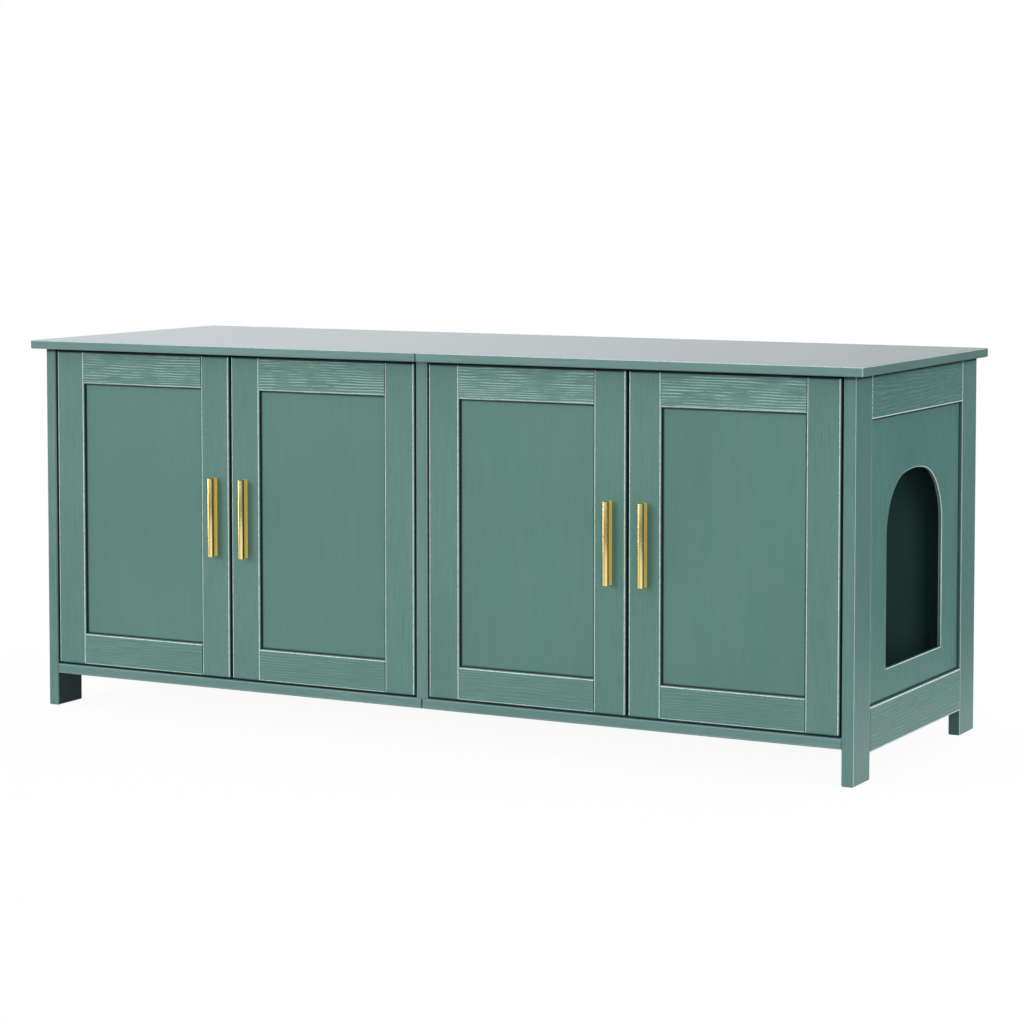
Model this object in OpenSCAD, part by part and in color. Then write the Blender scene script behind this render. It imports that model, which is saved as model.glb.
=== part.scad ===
// Double litter-box cabinet for cats: a wide painted cabinet on four legs, with four
// framed doors and an arched entrance in its right-hand side.
// Millimetres. X runs to the right as seen from the front, Y to the back, Z up.
// The origin is on the floor, under the middle of the top board.

/* [Overall] */
// Width over the top board
overall_w = 1568; // [1400:1:1700]
// Depth over the top board
overall_d = 574; // [520:1:620]
// Height from the floor to the top surface
overall_h = 650; // [600:1:720]

/* [Top board] */
// Thickness of the top board
top_t = 15; // [13:0.5:22]
// How far the top board stands out past the doors
top_over_front = 20; // [20:0.5:40]
// How far the top board stands out past each side
top_over_side = 19; // [5:0.5:30]
// How far the top board stands out behind
top_over_back = 2; // [0:0.5:15]

/* [Bottom board] */
// Thickness of the bottom board
bottom_t = 17; // [16:0.5:22]
// Height of the bottom board's underside above the floor
bottom_z = 57.5; // [54:0.5:70]

/* [Side frames] */
// Thickness of the legs and rails
frame_t = 20; // [19:0.5:26]
// Width of a leg, from front to back
leg_w = 70; // [66:0.5:90]
// Height of a side rail
side_rail_h = 71.5; // [68:0.5:90]
// Height of the lower side rail's underside above the floor
side_rail_z = 42.5; // [36:0.5:46]
// Thickness of the side panels
side_panel_t = 6; // [4:0.5:8]
// How far a side panel lies behind the face of its frame
side_recess = 5.5; // [3:0.5:6]

/* [Arched openings] */
// Width of an arched opening
arch_w = 252; // [200:1:270]
// Height of an arched opening
arch_h = 309; // [240:1:320]
// Height of the arch's sill above the floor
arch_sill_z = 162; // [150:1:190]
// Radius of the flat crown of the arch
arch_crown_r = 280; // [240:1:320]
// Radius of the two shoulders of the arch
arch_shoulder_r = 97; // [70:1:98]

/* [Divider and back] */
// Thickness of the divider between the two compartments
divider_t = 20; // [20:0.5:30]
// Thickness of the back panels
back_t = 3; // [2.5:0.5:6]
// How far the back panels lie in front of the rear edge
back_inset = 8; // [5:0.5:20]
// Depth of the grooves that hold the back panels
back_groove = 5; // [3:0.5:7]

/* [Doors] */
// Thickness of a door
door_t = 18; // [17:0.5:22]
// Gap at the hinge edge of a door
gap_hinge = 4; // [3.5:0.5:6]
// Gap between two doors that meet
gap_meet = 5; // [3:0.5:8]
// Gap above a door
gap_top = 3.5; // [2:0.5:6]
// Gap below a door
gap_bottom = 3.5; // [2:0.5:6]
// Width of a door stile
stile_w = 57; // [54:0.5:70]
// Height of a door's top rail
door_top_rail_h = 56.5; // [48:0.5:70]
// Height of a door's bottom rail
door_bottom_rail_h = 54.5; // [48:0.5:70]
// Thickness of a door panel
door_panel_t = 6; // [4:0.5:7]
// How far a door panel lies behind the face of its frame
door_recess = 5.5; // [3:0.5:6]

/* [Grooves and edges] */
// Depth of the grooves that hold the side and door panels
groove_d = 8; // [6:0.5:9]
// Gap left between a panel's edge and the bottom of its groove
groove_gap = 1; // [0.5:0.5:2]
// Width of the worn arris on the door frames
door_arris = 2; // [0.5:0.25:2.5]
// Width of the arris on the cabinet's boards
board_arris = 1.5; // [0.5:0.25:2]

/* [Pulls] */
// Length of a pull
pull_l = 135; // [125:1:220]
// Width of a pull
pull_w = 9.4; // [9:0.2:14]
// How far a pull stands out from the door
pull_out = 19; // [17:0.5:19.5]
// How much the front of a pull is rounded
pull_crown = 3; // [1.5:0.5:4]
// How deep the waist of a pull is hollowed on each side
pull_waist = 2.4; // [1:0.2:2.4]
// Thickness of the flat foot that lies on the door
pull_foot = 1.5; // [1:0.5:3]
// Distance between the two screws of a pull
pull_pitch = 96; // [64:32:96]

/* [Hinges] */
// Diameter of a hinge cup
cup_d = 35; // [34:0.5:36]
// Depth of a hinge cup
cup_depth = 12.5; // [12:0.5:12.5]
// Distance from the door's edge to the hinge cup
cup_edge = 3.5; // [3:0.5:5]
// Distance from the door's edge to the hinge pin
pivot_in = 14; // [13:0.5:14.5]
// Distance from the door's face to the hinge pin
pivot_back = 9.5; // [9.5:0.1:10]
// Diameter of a hinge pin
pin_d = 3; // [2.5:0.1:3.2]
// Width of the cranked arm
arm_w = 12; // [8:0.5:13]
// Thickness of the cranked arm
arm_t = 2.5; // [2:0.1:2.7]
// Thickness of the arm's screw plate
plate_t = 3; // [2:0.5:3.5]
// Height of the arm's screw plate
plate_h = 26; // [22:1:40]
// Distance from a door's end to the middle of its hinge
hinge_end = 90; // [60:1:130]

/* [Fasteners] */
// Diameter of the dowels in the frames
dowel_d = 8; // [6:0.5:8]
// Length of the dowels in the frames
dowel_l = 40; // [36:1:44]
// Diameter of the dowels across the seams
seam_dowel_d = 6; // [5:0.5:7]
// Length of the dowels that join board to board
board_dowel_l = 30; // [26:1:34]
// Diameter of a cam disc
cam_d = 15; // [14:0.5:16]
// Thickness of a cam disc
cam_t = 12; // [11:0.5:12.5]
// Distance from a board's end to its cam disc's centre
cam_in = 24; // [22:0.5:30]
// Diameter of a cam bolt
bolt_d = 6; // [5:0.5:6]
// Diameter of a wood screw
screw_d = 3.5; // [3:0.5:4]
// Length of a wood screw
screw_l = 11; // [9:0.5:11]
// Diameter of a pull's machine screw
pull_screw_d = 4; // [3:0.5:4]
// Length of one side of an angle bracket
bracket_l = 22; // [18:1:30]
// Width of an angle bracket
bracket_w = 18; // [14:1:24]
// Thickness of an angle bracket
bracket_t = 2; // [2:0.5:3]

/* [Middle foot] */
// Width of the foot under the middle
foot_w = 70; // [60:1:120]
// Thickness of the foot under the middle
foot_t = 20; // [16:1:30]
// Distance from the rear edge to the middle of that foot
foot_in = 85; // [60:1:150]

/* [Hidden] */
$fn = 48;

// Running clearance of a hinge pin in its arm, on the radius
pin_fit = 0.05;
// Clearance of a dowel, screw or disc in its hole, on the radius
hole_fit = 0.1;
// Free space between an arm and the slot of its cup, on each side
slot_play = 0.5;
// Wall of a hinge cup
cup_wall = 1;
// Thickness of the rim and wings of a hinge cup
rim_t = 1.2;
// Width of the rim around a hinge cup
rim_w = 0.7;
// Width and height of the two wings of a hinge cup
wing_w = 13;
wing_h = 58;
// Distance between the two screws in the wings of a cup
wing_pitch = 46;
// Wall of the eye around a hinge pin
eye_wall = 1.1;
// How far past the pin the arm reaches before it turns out of the cup
neck_in = 15.25;
// Free space between the arm and the corner of a turning door
neck_clear = 0.9;
// Length of the arm's screw plate behind the neck, and its screws from the neck
plate_l = 37;
plate_screws = [10, 29];
// Countersunk head of a wood screw
head_d_ratio = 1.9;
head_t = 1.6;
// Head of a pull's machine screw
pull_head_d = 8;
pull_head_t = 2.2;
// How far a pull's screws reach into it
pull_thread = 9;
// Size of the crossed slots in the screw heads and cam discs
slot_w = 1;
slot_depth = 0.8;
// How far a cam bolt screws into its board
bolt_thread = 9;
// How far a vertical dowel stands in the top board
top_dowel_in = 10;
// How far a bottom board's dowel stands in the side rail
rail_dowel_in = 10;
// Distances of the rail dowels from the rail's outer edge
rail_dowels = [17, 46];
// Places along the depth, as parts of the free length of a side rail
side_dowel_at = [0.12, 0.5, 0.88];
cam_at = [0.28, 0.72];
// Places along the depth, as parts of the body's depth
seam_dowel_at = [0.1, 0.36, 0.6, 0.93];
bracket_at = [0.17, 0.78];
// Free depth past the end of a dowel, bolt or screw in its hole
end_gap = 0.5;
// Chamfer of the seam on the front edges
seam_arris = 1;
// A cut goes this far past the surface that it starts from
past = 1;

// Colours, as red, green and blue
PAINT = [0.40, 0.55, 0.50];
PAINT_DARK = [0.36, 0.51, 0.47];
BRASS = [0.85, 0.69, 0.33];
STEEL = [0.72, 0.73, 0.75];
BEECH = [0.80, 0.66, 0.48];
BACKING = [0.33, 0.47, 0.43];

// Main planes of the cabinet
top_x = overall_w / 2;
body_x = top_x - top_over_side;
inner_x = body_x - frame_t;
front_y = -overall_d / 2 + top_over_front;
rear_y = overall_d / 2 - top_over_back;
body_d = rear_y - front_y;
under_z = overall_h - top_t;
floor_z = bottom_z + bottom_t;
half_t = divider_t / 2;

// Free length of a side rail, and its place
rail_y = front_y + leg_w;
rail_l = body_d - 2 * leg_w;
top_rail_z = under_z - side_rail_h;
low_rail_top = side_rail_z + side_rail_h;

// A panel's edges stand in the grooves by this much
panel_in = groove_d - groove_gap;
back_in = back_groove - end_gap;
back_y = rear_y - back_inset - back_t;

// Doors
bay_w = inner_x - half_t;
door_w = (bay_w - 2 * gap_hinge - gap_meet) / 2;
door_z = floor_z + gap_bottom;
door_h = under_z - gap_top - door_z;
hinge_zs = [hinge_end, door_h - hinge_end];
// Each door's hinge edge, and the way that it runs from there: 1 to the right
door_edge_x = [-inner_x + gap_hinge, -half_t - gap_hinge, half_t + gap_hinge, inner_x - gap_hinge];
door_run = [1, -1, 1, -1];

// Hinges, in a door's own frame: X from the hinge edge, Y from the face to the back
cup_x = cup_edge + cup_d / 2;
cup_floor = door_t - cup_depth;
cup_r = cup_d / 2 - hole_fit;
cave_r = cup_r - cup_wall;
cave_half_h = arm_w / 2 + slot_play;
pin_half = sqrt(pow(cup_r, 2) - pow(abs(cup_x - pivot_in) + pin_d / 2, 2)) - end_gap / 2;
// The back corner of a door turns in a circle of this radius around the pin
corner_r = norm([pivot_in, door_t - pivot_back - door_arris]);
neck_y = max(corner_r, norm([cup_x - cup_r - rim_w - pivot_in, door_t + rim_t - pivot_back])) + neck_clear;
plate_x = -pivot_in - gap_hinge;
wing_screw_x = cup_x + wing_w / 2 - 1;

// Arch: the crown meets the shoulders smoothly
arch_drop = sqrt(pow(arch_crown_r - arch_shoulder_r, 2) - pow(arch_w / 2 - arch_shoulder_r, 2));
arch_spring = arch_h - (arch_crown_r - arch_drop);
arch_y = rail_y + rail_l / 2;

// Pull: the waist is a hollow cut by a circle on each side
waist_span = (pull_out - pull_crown - pull_foot) / 2;
waist_r = (pow(waist_span, 2) + pow(pull_waist, 2)) / (2 * pull_waist);
crown_r = (pow(pull_w / 2, 2) + pow(pull_crown, 2)) / (2 * pull_crown);
pull_x = door_w - stile_w / 2;
pull_zs = [door_h / 2 - pull_pitch / 2, door_h / 2 + pull_pitch / 2];

DOORS = [0, 1, 2, 3];
SIDES = [-1, 1];
CABINET_NODES = [
    "top_left", "top_right", "bottom_left", "bottom_right",
    "left_front_leg", "left_rear_leg", "left_top_rail", "left_bottom_rail", "left_panel",
    "right_front_leg", "right_rear_leg", "right_top_rail", "right_bottom_rail", "arch_panel",
    "divider", "back_left", "back_right", "middle_foot",
    "hinge_arms", "brackets", "wood_screws", "dowels", "cam_bolts", "cam_discs"
];
DOOR_NODES = [
    "hinge_stile", "handle_stile", "top_rail", "bottom_rail", "panel",
    "pull", "hinge_cups", "hinge_pins", "screws"
];
function door_node(i, piece) = str("door_", i + 1, "_", piece);

// Outlines and boards

// One corner of an outline, cut back by c along the directions u and v
function corner(p, u, v, c) = c == 0 ? [p] : [p + c * u, p + c * v];

// A rectangle whose corners are cut by c, in the order near left, near right, far right, far left
function cut_rect(w, h, c) = concat(
    corner([0, 0], [0, 1], [1, 0], c[0]),
    corner([w, 0], [-1, 0], [0, 1], c[1]),
    corner([w, h], [0, -1], [-1, 0], c[2]),
    corner([0, h], [1, 0], [0, -1], c[3])
);

// A board from its low corner. Each outline's four corners take their own arris:
// xy seen from above, xz from the front, yz from the right.
module board(size, xy = [0, 0, 0, 0], xz = [0, 0, 0, 0], yz = [0, 0, 0, 0]) {
    intersection() {
        linear_extrude(size.z) polygon(cut_rect(size.x, size.y, xy));
        translate([0, size.y, 0]) rotate([90, 0, 0])
            linear_extrude(size.y) polygon(cut_rect(size.x, size.z, xz));
        rotate([90, 0, 90]) linear_extrude(size.x) polygon(cut_rect(size.y, size.z, yz));
    }
}

function all_four(c) = [c, c, c, c];

// Round bars along each axis, from their middle
module bar_x(d, l) rotate([0, 90, 0]) cylinder(d = d, h = l, center = true);
module bar_y(d, l) rotate([90, 0, 0]) cylinder(d = d, h = l, center = true);
module bar_z(d, l) cylinder(d = d, h = l, center = true);

// The outline of an arched opening, from the middle of its sill
module arch_outline() {
    half = arch_w / 2;
    translate([-half, 0]) square([arch_w, arch_spring]);
    for (s = SIDES)
        translate([s * (half - arch_shoulder_r), arch_spring]) circle(arch_shoulder_r, $fn = 96);
    intersection() {
        translate([0, arch_spring - arch_drop]) circle(arch_crown_r, $fn = 192);
        translate([0, arch_spring - arch_drop]) polygon([
            [0, 0],
            2 * [half - arch_shoulder_r, arch_drop],
            2 * [-(half - arch_shoulder_r), arch_drop]
        ]);
    }
}

// Cuts an arched opening through a board that stands square to X, centred on x
module arch_cut(x, through) {
    translate([x - through / 2, arch_y, arch_sill_z])
        rotate([90, 0, 90]) linear_extrude(through) arch_outline();
}

// A wood screw along +X, with its head's top at the origin. Its point is cut flat.
module wood_screw(length = screw_l) {
    difference() {
        rotate([0, 90, 0]) rotate_extrude() polygon([
            [0, 0],
            [head_d_ratio * screw_d / 2, 0],
            [screw_d / 2, head_t],
            [screw_d / 2, length - 1.5 * screw_d],
            [screw_d / 6, length],
            [0, length]
        ]);
        for (turn = [0, 90]) rotate([turn, 0, 0])
            cube([2 * slot_depth, slot_w, 0.9 * screw_d], center = true);
    }
}

// The hole and countersink of that screw, for the wood and for the metal over it
module wood_screw_hole(length = screw_l) {
    rotate([0, 90, 0]) rotate_extrude() polygon([
        [0, -past],
        [head_d_ratio * screw_d / 2 + hole_fit, -past],
        [head_d_ratio * screw_d / 2 + hole_fit, 0],
        [screw_d / 2 + hole_fit, head_t],
        [screw_d / 2 + hole_fit, length + end_gap],
        [0, length + end_gap]
    ]);
}

// Places along the depth
function side_y(share) = rail_y + share * rail_l;
function body_y(share) = front_y + share * body_d;

// Fasteners, drawn once and used for the pieces and, with a wider fit, for their holes

// Dowels between the legs and rails of one side
module leg_dowels(side, grow = 0, longer = 0) {
    for (y = [rail_y, rail_y + rail_l], low = rail_dowels, upper = [0, 1]) {
        z = upper == 1 ? under_z - low : side_rail_z + low;
        translate([side * (body_x - frame_t / 2), y, z]) bar_y(dowel_d + 2 * grow, dowel_l + 2 * longer);
    }
}

// Dowels between one side's top rail and the top board
module top_dowels(side, grow = 0, longer = 0) {
    for (share = side_dowel_at)
        translate([side * (body_x - frame_t / 2), side_y(share), under_z + top_dowel_in - board_dowel_l / 2])
            bar_z(dowel_d + 2 * grow, board_dowel_l + 2 * longer);
}

// Dowels between one side's bottom rail and the bottom board
module bottom_dowels(side, grow = 0, longer = 0) {
    for (share = side_dowel_at)
        translate([side * (inner_x + rail_dowel_in - board_dowel_l / 2), side_y(share), bottom_z + bottom_t / 2])
            bar_x(dowel_d + 2 * grow, board_dowel_l + 2 * longer);
}

// Dowels across the seams of the top and bottom boards
module seam_dowels(grow = 0, longer = 0) {
    for (share = seam_dowel_at, z = [overall_h - top_t / 2, bottom_z + bottom_t / 2])
        translate([0, body_y(share), z]) bar_x(seam_dowel_d + 2 * grow, board_dowel_l + 2 * longer);
}

// Bolts and discs lie this far from the surface that their disc is let into
cam_mid = cam_t / 2 + end_gap;

// The two cam bolts of a top rail stand up into the top board
module top_bolts(side, grow = 0, longer = 0) {
    for (share = cam_at)
        translate([side * (inner_x + cam_mid), side_y(share), under_z + (bolt_thread - cam_in) / 2])
            bar_z(bolt_d + 2 * grow, bolt_thread + cam_in + 2 * longer);
}

module top_discs(side, grow = 0, deeper = 0) {
    for (share = cam_at)
        translate([side * (inner_x + cam_mid), side_y(share), under_z - cam_in])
            bar_x(cam_d + 2 * grow, cam_t + 2 * deeper);
}

// The two cam bolts of a bottom rail stand out into the end of the bottom board
module bottom_bolts(side, grow = 0, longer = 0) {
    for (share = cam_at)
        translate([side * (inner_x + (bolt_thread - cam_in) / 2), side_y(share), bottom_z + cam_mid])
            bar_x(bolt_d + 2 * grow, bolt_thread + cam_in + 2 * longer);
}

module bottom_discs(side, grow = 0, deeper = 0) {
    for (share = cam_at)
        translate([side * (inner_x - cam_in), side_y(share), bottom_z + cam_mid])
            bar_z(cam_d + 2 * grow, cam_t + 2 * deeper);
}

// Places one child at each hinge plate's screws, pointing into the wood
module at_plate_screws(i) {
    for (z = hinge_zs, s = plate_screws)
        translate([door_edge_x[i], front_y, door_z]) mirror([door_run[i] < 0 ? 1 : 0, 0, 0])
            translate([-gap_hinge + plate_t, pivot_back + neck_y + s, z])
                rotate([0, 0, 180]) children();
}

// Places one child at each bracket's corner, with +X away from the divider and +Z away from its board
module at_brackets(sides = SIDES, uppers = [0, 1]) {
    for (side = sides, upper = uppers, share = bracket_at)
        translate([side * half_t, body_y(share), upper == 1 ? under_z : floor_z])
            mirror([side < 0 ? 1 : 0, 0, 0]) mirror([0, 0, upper]) children();
}

// Places one child at each bracket screw that goes into the divider
module at_divider_screws() {
    at_brackets() translate([bracket_t, 0, bracket_l - bracket_w / 2]) rotate([0, 0, 180]) children();
}

// Places one child at each bracket screw that goes into a board, for one side and level
module at_board_screws(side, upper) {
    at_brackets([side], [upper]) translate([bracket_l - bracket_w / 2, 0, bracket_t]) rotate([0, 90, 0]) children();
}

foot_y = rear_y - foot_in;
foot_screw_l = bottom_t + 1.2 * screw_l;

// Places one child at the head of the foot's screw on one side, pointing down
module at_foot_screw(side) {
    translate([side * foot_w / 3.5, foot_y, floor_z]) rotate([0, 90, 0]) children();
}

// Cabinet

// One half of the top board. Its grooves and holes are cut from below.
module top_half(side) {
    a = board_arris;
    s = seam_arris;
    mirror([side < 0 ? 1 : 0, 0, 0]) difference() {
        translate([0, -overall_d / 2, under_z])
            board([top_x, overall_d, top_t], xy = [s, a, a, 0], xz = [0, a, a, 0], yz = all_four(a));
        translate([half_t - back_groove, back_y, under_z - past])
            cube([inner_x - half_t + 2 * back_groove, back_t, back_groove + past]);
        top_dowels(1, hole_fit, end_gap);
        top_bolts(1, hole_fit, end_gap);
        seam_dowels(hole_fit, end_gap);
        at_board_screws(1, 1) wood_screw_hole();
    }
}

module top_left() color(PAINT) top_half(-1);
module top_right() color(PAINT) top_half(1);

// One half of the bottom board, between the side frames
module bottom_half(side) {
    a = board_arris;
    s = seam_arris;
    mirror([side < 0 ? 1 : 0, 0, 0]) difference() {
        translate([0, front_y, bottom_z])
            board([inner_x, body_d, bottom_t], xy = [s, s, 0, 0], yz = all_four(a));
        translate([half_t - back_groove, back_y, floor_z - back_groove])
            cube([inner_x - half_t + back_groove + past, back_t, back_groove + past]);
        bottom_dowels(1, hole_fit, end_gap);
        bottom_bolts(1, 2 * hole_fit, end_gap);
        bottom_discs(1, hole_fit, end_gap);
        seam_dowels(hole_fit, end_gap);
        at_board_screws(1, 0) wood_screw_hole();
        at_foot_screw(1) wood_screw_hole(foot_screw_l);
    }
}

module bottom_left() color(PAINT) bottom_half(-1);
module bottom_right() color(PAINT) bottom_half(1);

// A leg of the right-hand side. front is 1 for the front leg and 0 for the rear one.
module side_leg(front) {
    a = board_arris;
    panel_x = body_x - side_recess - side_panel_t;
    panel_z = low_rail_top - panel_in;
    y = front == 1 ? front_y : rear_y - leg_w;
    groove_y = front == 1 ? rail_y - groove_d : rail_y + rail_l - past;
    difference() {
        translate([inner_x, y, 0])
            board([frame_t, leg_w, under_z], xy = all_four(a), xz = [a, a, 0, 0], yz = [a, a, 0, 0]);
        translate([panel_x, groove_y, panel_z])
            cube([side_panel_t, groove_d + past, top_rail_z + panel_in - panel_z]);
        leg_dowels(1, hole_fit, end_gap);
        if (front == 0)
            translate([inner_x - past, back_y, floor_z - back_in])
                cube([back_groove + past, back_t, under_z - floor_z + 2 * back_in]);
    }
}

// A leg with the holes of the hinge plates that are screwed to it
module hinge_leg(door) {
    difference() {
        mirror([door_run[door] > 0 ? 1 : 0, 0, 0]) side_leg(1);
        at_plate_screws(door) wood_screw_hole();
    }
}

module left_front_leg() color(PAINT) hinge_leg(0);
module right_front_leg() color(PAINT) hinge_leg(3);
module left_rear_leg() color(PAINT) mirror([1, 0, 0]) side_leg(0);
module right_rear_leg() color(PAINT) side_leg(0);

// The top rail of the right-hand side, grooved below for the panel
module side_top_rail() {
    a = board_arris;
    difference() {
        translate([inner_x, rail_y, top_rail_z])
            board([frame_t, rail_l, side_rail_h], xz = [a, a, 0, 0]);
        translate([body_x - side_recess - side_panel_t, rail_y - past, top_rail_z - past])
            cube([side_panel_t, rail_l + 2 * past, groove_d + past]);
        leg_dowels(1, hole_fit, end_gap);
        top_dowels(1, hole_fit, end_gap);
        top_bolts(1, 2 * hole_fit, end_gap);
        top_discs(1, hole_fit, end_gap);
    }
}

// The bottom rail of the right-hand side, grooved above for the panel
module side_bottom_rail() {
    a = board_arris;
    difference() {
        translate([inner_x, rail_y, side_rail_z])
            board([frame_t, rail_l, side_rail_h], xz = all_four(a));
        translate([body_x - side_recess - side_panel_t, rail_y - past, low_rail_top - groove_d])
            cube([side_panel_t, rail_l + 2 * past, groove_d + past]);
        leg_dowels(1, hole_fit, end_gap);
        bottom_dowels(1, hole_fit, end_gap);
        bottom_bolts(1, hole_fit, end_gap);
    }
}

module left_top_rail() color(PAINT) mirror([1, 0, 0]) side_top_rail();
module right_top_rail() color(PAINT) side_top_rail();
module left_bottom_rail() color(PAINT) mirror([1, 0, 0]) side_bottom_rail();
module right_bottom_rail() color(PAINT) side_bottom_rail();

// The thin panel of the right-hand side
module side_panel() {
    translate([body_x - side_recess - side_panel_t, rail_y - panel_in, low_rail_top - panel_in])
        cube([side_panel_t, rail_l + 2 * panel_in, top_rail_z - low_rail_top + 2 * panel_in]);
}

module left_panel() color(PAINT_DARK) mirror([1, 0, 0]) side_panel();

module arch_panel() color(PAINT_DARK) {
    difference() {
        side_panel();
        arch_cut(body_x - side_recess - side_panel_t / 2, side_panel_t + 2 * past);
    }
}

// The board between the two compartments, with a way through for the cat
module divider() color(PAINT) {
    a = board_arris;
    difference() {
        translate([-half_t, front_y, floor_z])
            board([divider_t, body_d, under_z - floor_z], xy = [a, a, 0, 0]);
        arch_cut(0, divider_t + 2 * past);
        for (side = SIDES)
            translate([side * (half_t + past / 2 - back_groove / 2), back_y + back_t / 2, (floor_z + under_z) / 2])
                cube([back_groove + past, back_t, under_z - floor_z + 2 * past], center = true);
        for (door = [1, 2]) at_plate_screws(door) wood_screw_hole();
        at_divider_screws() wood_screw_hole();
    }
}

// The thin back of the right-hand compartment, let into grooves all round
module back_half() {
    translate([half_t - back_in, back_y, floor_z - back_in])
        cube([bay_w + 2 * back_in, back_t, under_z - floor_z + 2 * back_in]);
}

module back_left() color(BACKING) mirror([1, 0, 0]) back_half();
module back_right() color(BACKING) back_half();

// A short leg across the seam of the bottom boards
module middle_foot() color(PAINT) {
    a = board_arris;
    difference() {
        translate([-foot_w / 2, foot_y - foot_t / 2, 0])
            board([foot_w, foot_t, bottom_z], xy = all_four(a), xz = [a, a, 0, 0], yz = [a, a, 0, 0]);
        for (side = SIDES) at_foot_screw(side) wood_screw_hole(foot_screw_l);
    }
}

module bracket() {
    difference() {
        translate([0, -bracket_w / 2, 0]) union() {
            cube([bracket_t, bracket_w, bracket_l]);
            cube([bracket_l, bracket_w, bracket_t]);
        }
        translate([bracket_t, 0, bracket_l - bracket_w / 2]) rotate([0, 0, 180]) wood_screw_hole();
        translate([bracket_l - bracket_w / 2, 0, bracket_t]) rotate([0, 90, 0]) wood_screw_hole();
    }
}

module brackets() color(STEEL) at_brackets() bracket();

module dowels() color(BEECH) {
    for (side = SIDES) {
        leg_dowels(side);
        top_dowels(side);
        bottom_dowels(side);
    }
    seam_dowels();
}

module cam_bolts() color(STEEL) {
    for (side = SIDES) {
        top_bolts(side);
        bottom_bolts(side);
    }
}

// Discs with a way in for the bolt, and a crossed slot for the driver
module cam_discs() color(STEEL) {
    difference() {
        for (side = SIDES) {
            top_discs(side);
            bottom_discs(side);
        }
        for (side = SIDES) {
            top_bolts(side, 3 * hole_fit, end_gap);
            bottom_bolts(side, 3 * hole_fit, end_gap);
            for (share = cam_at, turn = [0, 90]) {
                translate([side * (inner_x + end_gap), side_y(share), under_z - cam_in])
                    rotate([turn, 0, 0]) cube([2 * slot_depth, slot_w, cam_d / 2], center = true);
                translate([side * (inner_x - cam_in), side_y(share), bottom_z + end_gap])
                    rotate([0, 0, turn]) cube([cam_d / 2, slot_w, 2 * slot_depth], center = true);
            }
        }
    }
}

module wood_screws() color(STEEL) {
    for (i = DOORS) at_plate_screws(i) wood_screw();
    at_divider_screws() wood_screw();
    for (side = SIDES) {
        for (upper = [0, 1]) at_board_screws(side, upper) wood_screw();
        at_foot_screw(side) wood_screw(foot_screw_l);
    }
}

// The cranked arm of a hinge, around its pin. X runs towards the door's free edge.
module hinge_arm() {
    eye_r = pin_d / 2 + eye_wall;
    difference() {
        union() {
            cylinder(r = eye_r, h = arm_w, center = true);
            translate([0, -arm_t / 2, -arm_w / 2]) cube([neck_in, arm_t, arm_w]);
            translate([neck_in - arm_t, -arm_t / 2, -arm_w / 2]) cube([arm_t, neck_y + 1.5 * arm_t, arm_w]);
            translate([plate_x, neck_y, -arm_w / 2]) cube([neck_in - plate_x, arm_t, arm_w]);
            translate([plate_x, neck_y, -plate_h / 2]) cube([plate_t, plate_l, plate_h]);
        }
        cylinder(r = pin_d / 2 + pin_fit, h = arm_w + 2 * past, center = true);
        for (s = plate_screws)
            translate([plate_x + plate_t, neck_y + s, 0]) rotate([0, 0, 180]) wood_screw_hole();
    }
}

module hinge_arms() color(STEEL) {
    for (i = DOORS) in_door(i) for (z = hinge_zs) translate([pivot_in, pivot_back, z]) hinge_arm();
}

// Doors

// Moves a door's own frame to its place: the hinge edge, the face and the lower end are at 0
module in_door(i) {
    translate([door_edge_x[i], front_y, door_z]) mirror([door_run[i] < 0 ? 1 : 0, 0, 0]) children();
}

// The groove for the panel in the edge of a stile or rail, seen along its length
module panel_groove(x, z, w, h) {
    translate([x, door_recess, z]) cube([w, door_panel_t, h]);
}

module stile_board() {
    a = all_four(door_arris);
    board([stile_w, door_t, door_h], xy = a, xz = a, yz = a);
}

// The tongues at the ends of the rails fill the stiles' grooves
module hinge_stile() {
    difference() {
        stile_board();
        panel_groove(stile_w - groove_d, -past, groove_d + past, door_h + 2 * past);
        for (z = hinge_zs) {
            translate([cup_x, door_t - cup_depth / 2 + past / 2, z]) bar_y(cup_d, cup_depth + past);
            for (s = SIDES)
                translate([wing_screw_x, door_t + rim_t, z + s * wing_pitch / 2])
                    rotate([0, 0, -90]) wood_screw_hole();
        }
    }
}

module handle_stile() {
    difference() {
        translate([door_w - stile_w, 0, 0]) stile_board();
        panel_groove(door_w - stile_w - past, -past, groove_d + past, door_h + 2 * past);
        for (z = pull_zs)
            translate([pull_x, door_t / 2, z]) bar_y(pull_screw_d + 4 * hole_fit, door_t + 2 * past);
    }
}

// A rail between the stiles with a tongue at each end. upper is 1 for the top rail.
module door_rail(upper) {
    a = all_four(door_arris);
    h = upper == 1 ? door_top_rail_h : door_bottom_rail_h;
    z = upper == 1 ? door_h - h : 0;
    groove_z = upper == 1 ? z - past : h - groove_d;
    tongue_z = upper == 1 ? z + groove_d : door_arris;
    length = door_w - 2 * stile_w;
    difference() {
        union() {
            translate([stile_w, 0, z]) board([length, door_t, h], yz = a);
            translate([stile_w - panel_in, door_recess, tongue_z])
                cube([length + 2 * panel_in, door_panel_t, h - groove_d - door_arris]);
        }
        panel_groove(stile_w - past, groove_z, length + 2 * past, groove_d + past);
    }
}

module door_panel() {
    translate([stile_w - panel_in, door_recess, door_bottom_rail_h - panel_in])
        cube([
            door_w - 2 * stile_w + 2 * panel_in,
            door_panel_t,
            door_h - door_top_rail_h - door_bottom_rail_h + 2 * panel_in
        ]);
}

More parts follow.
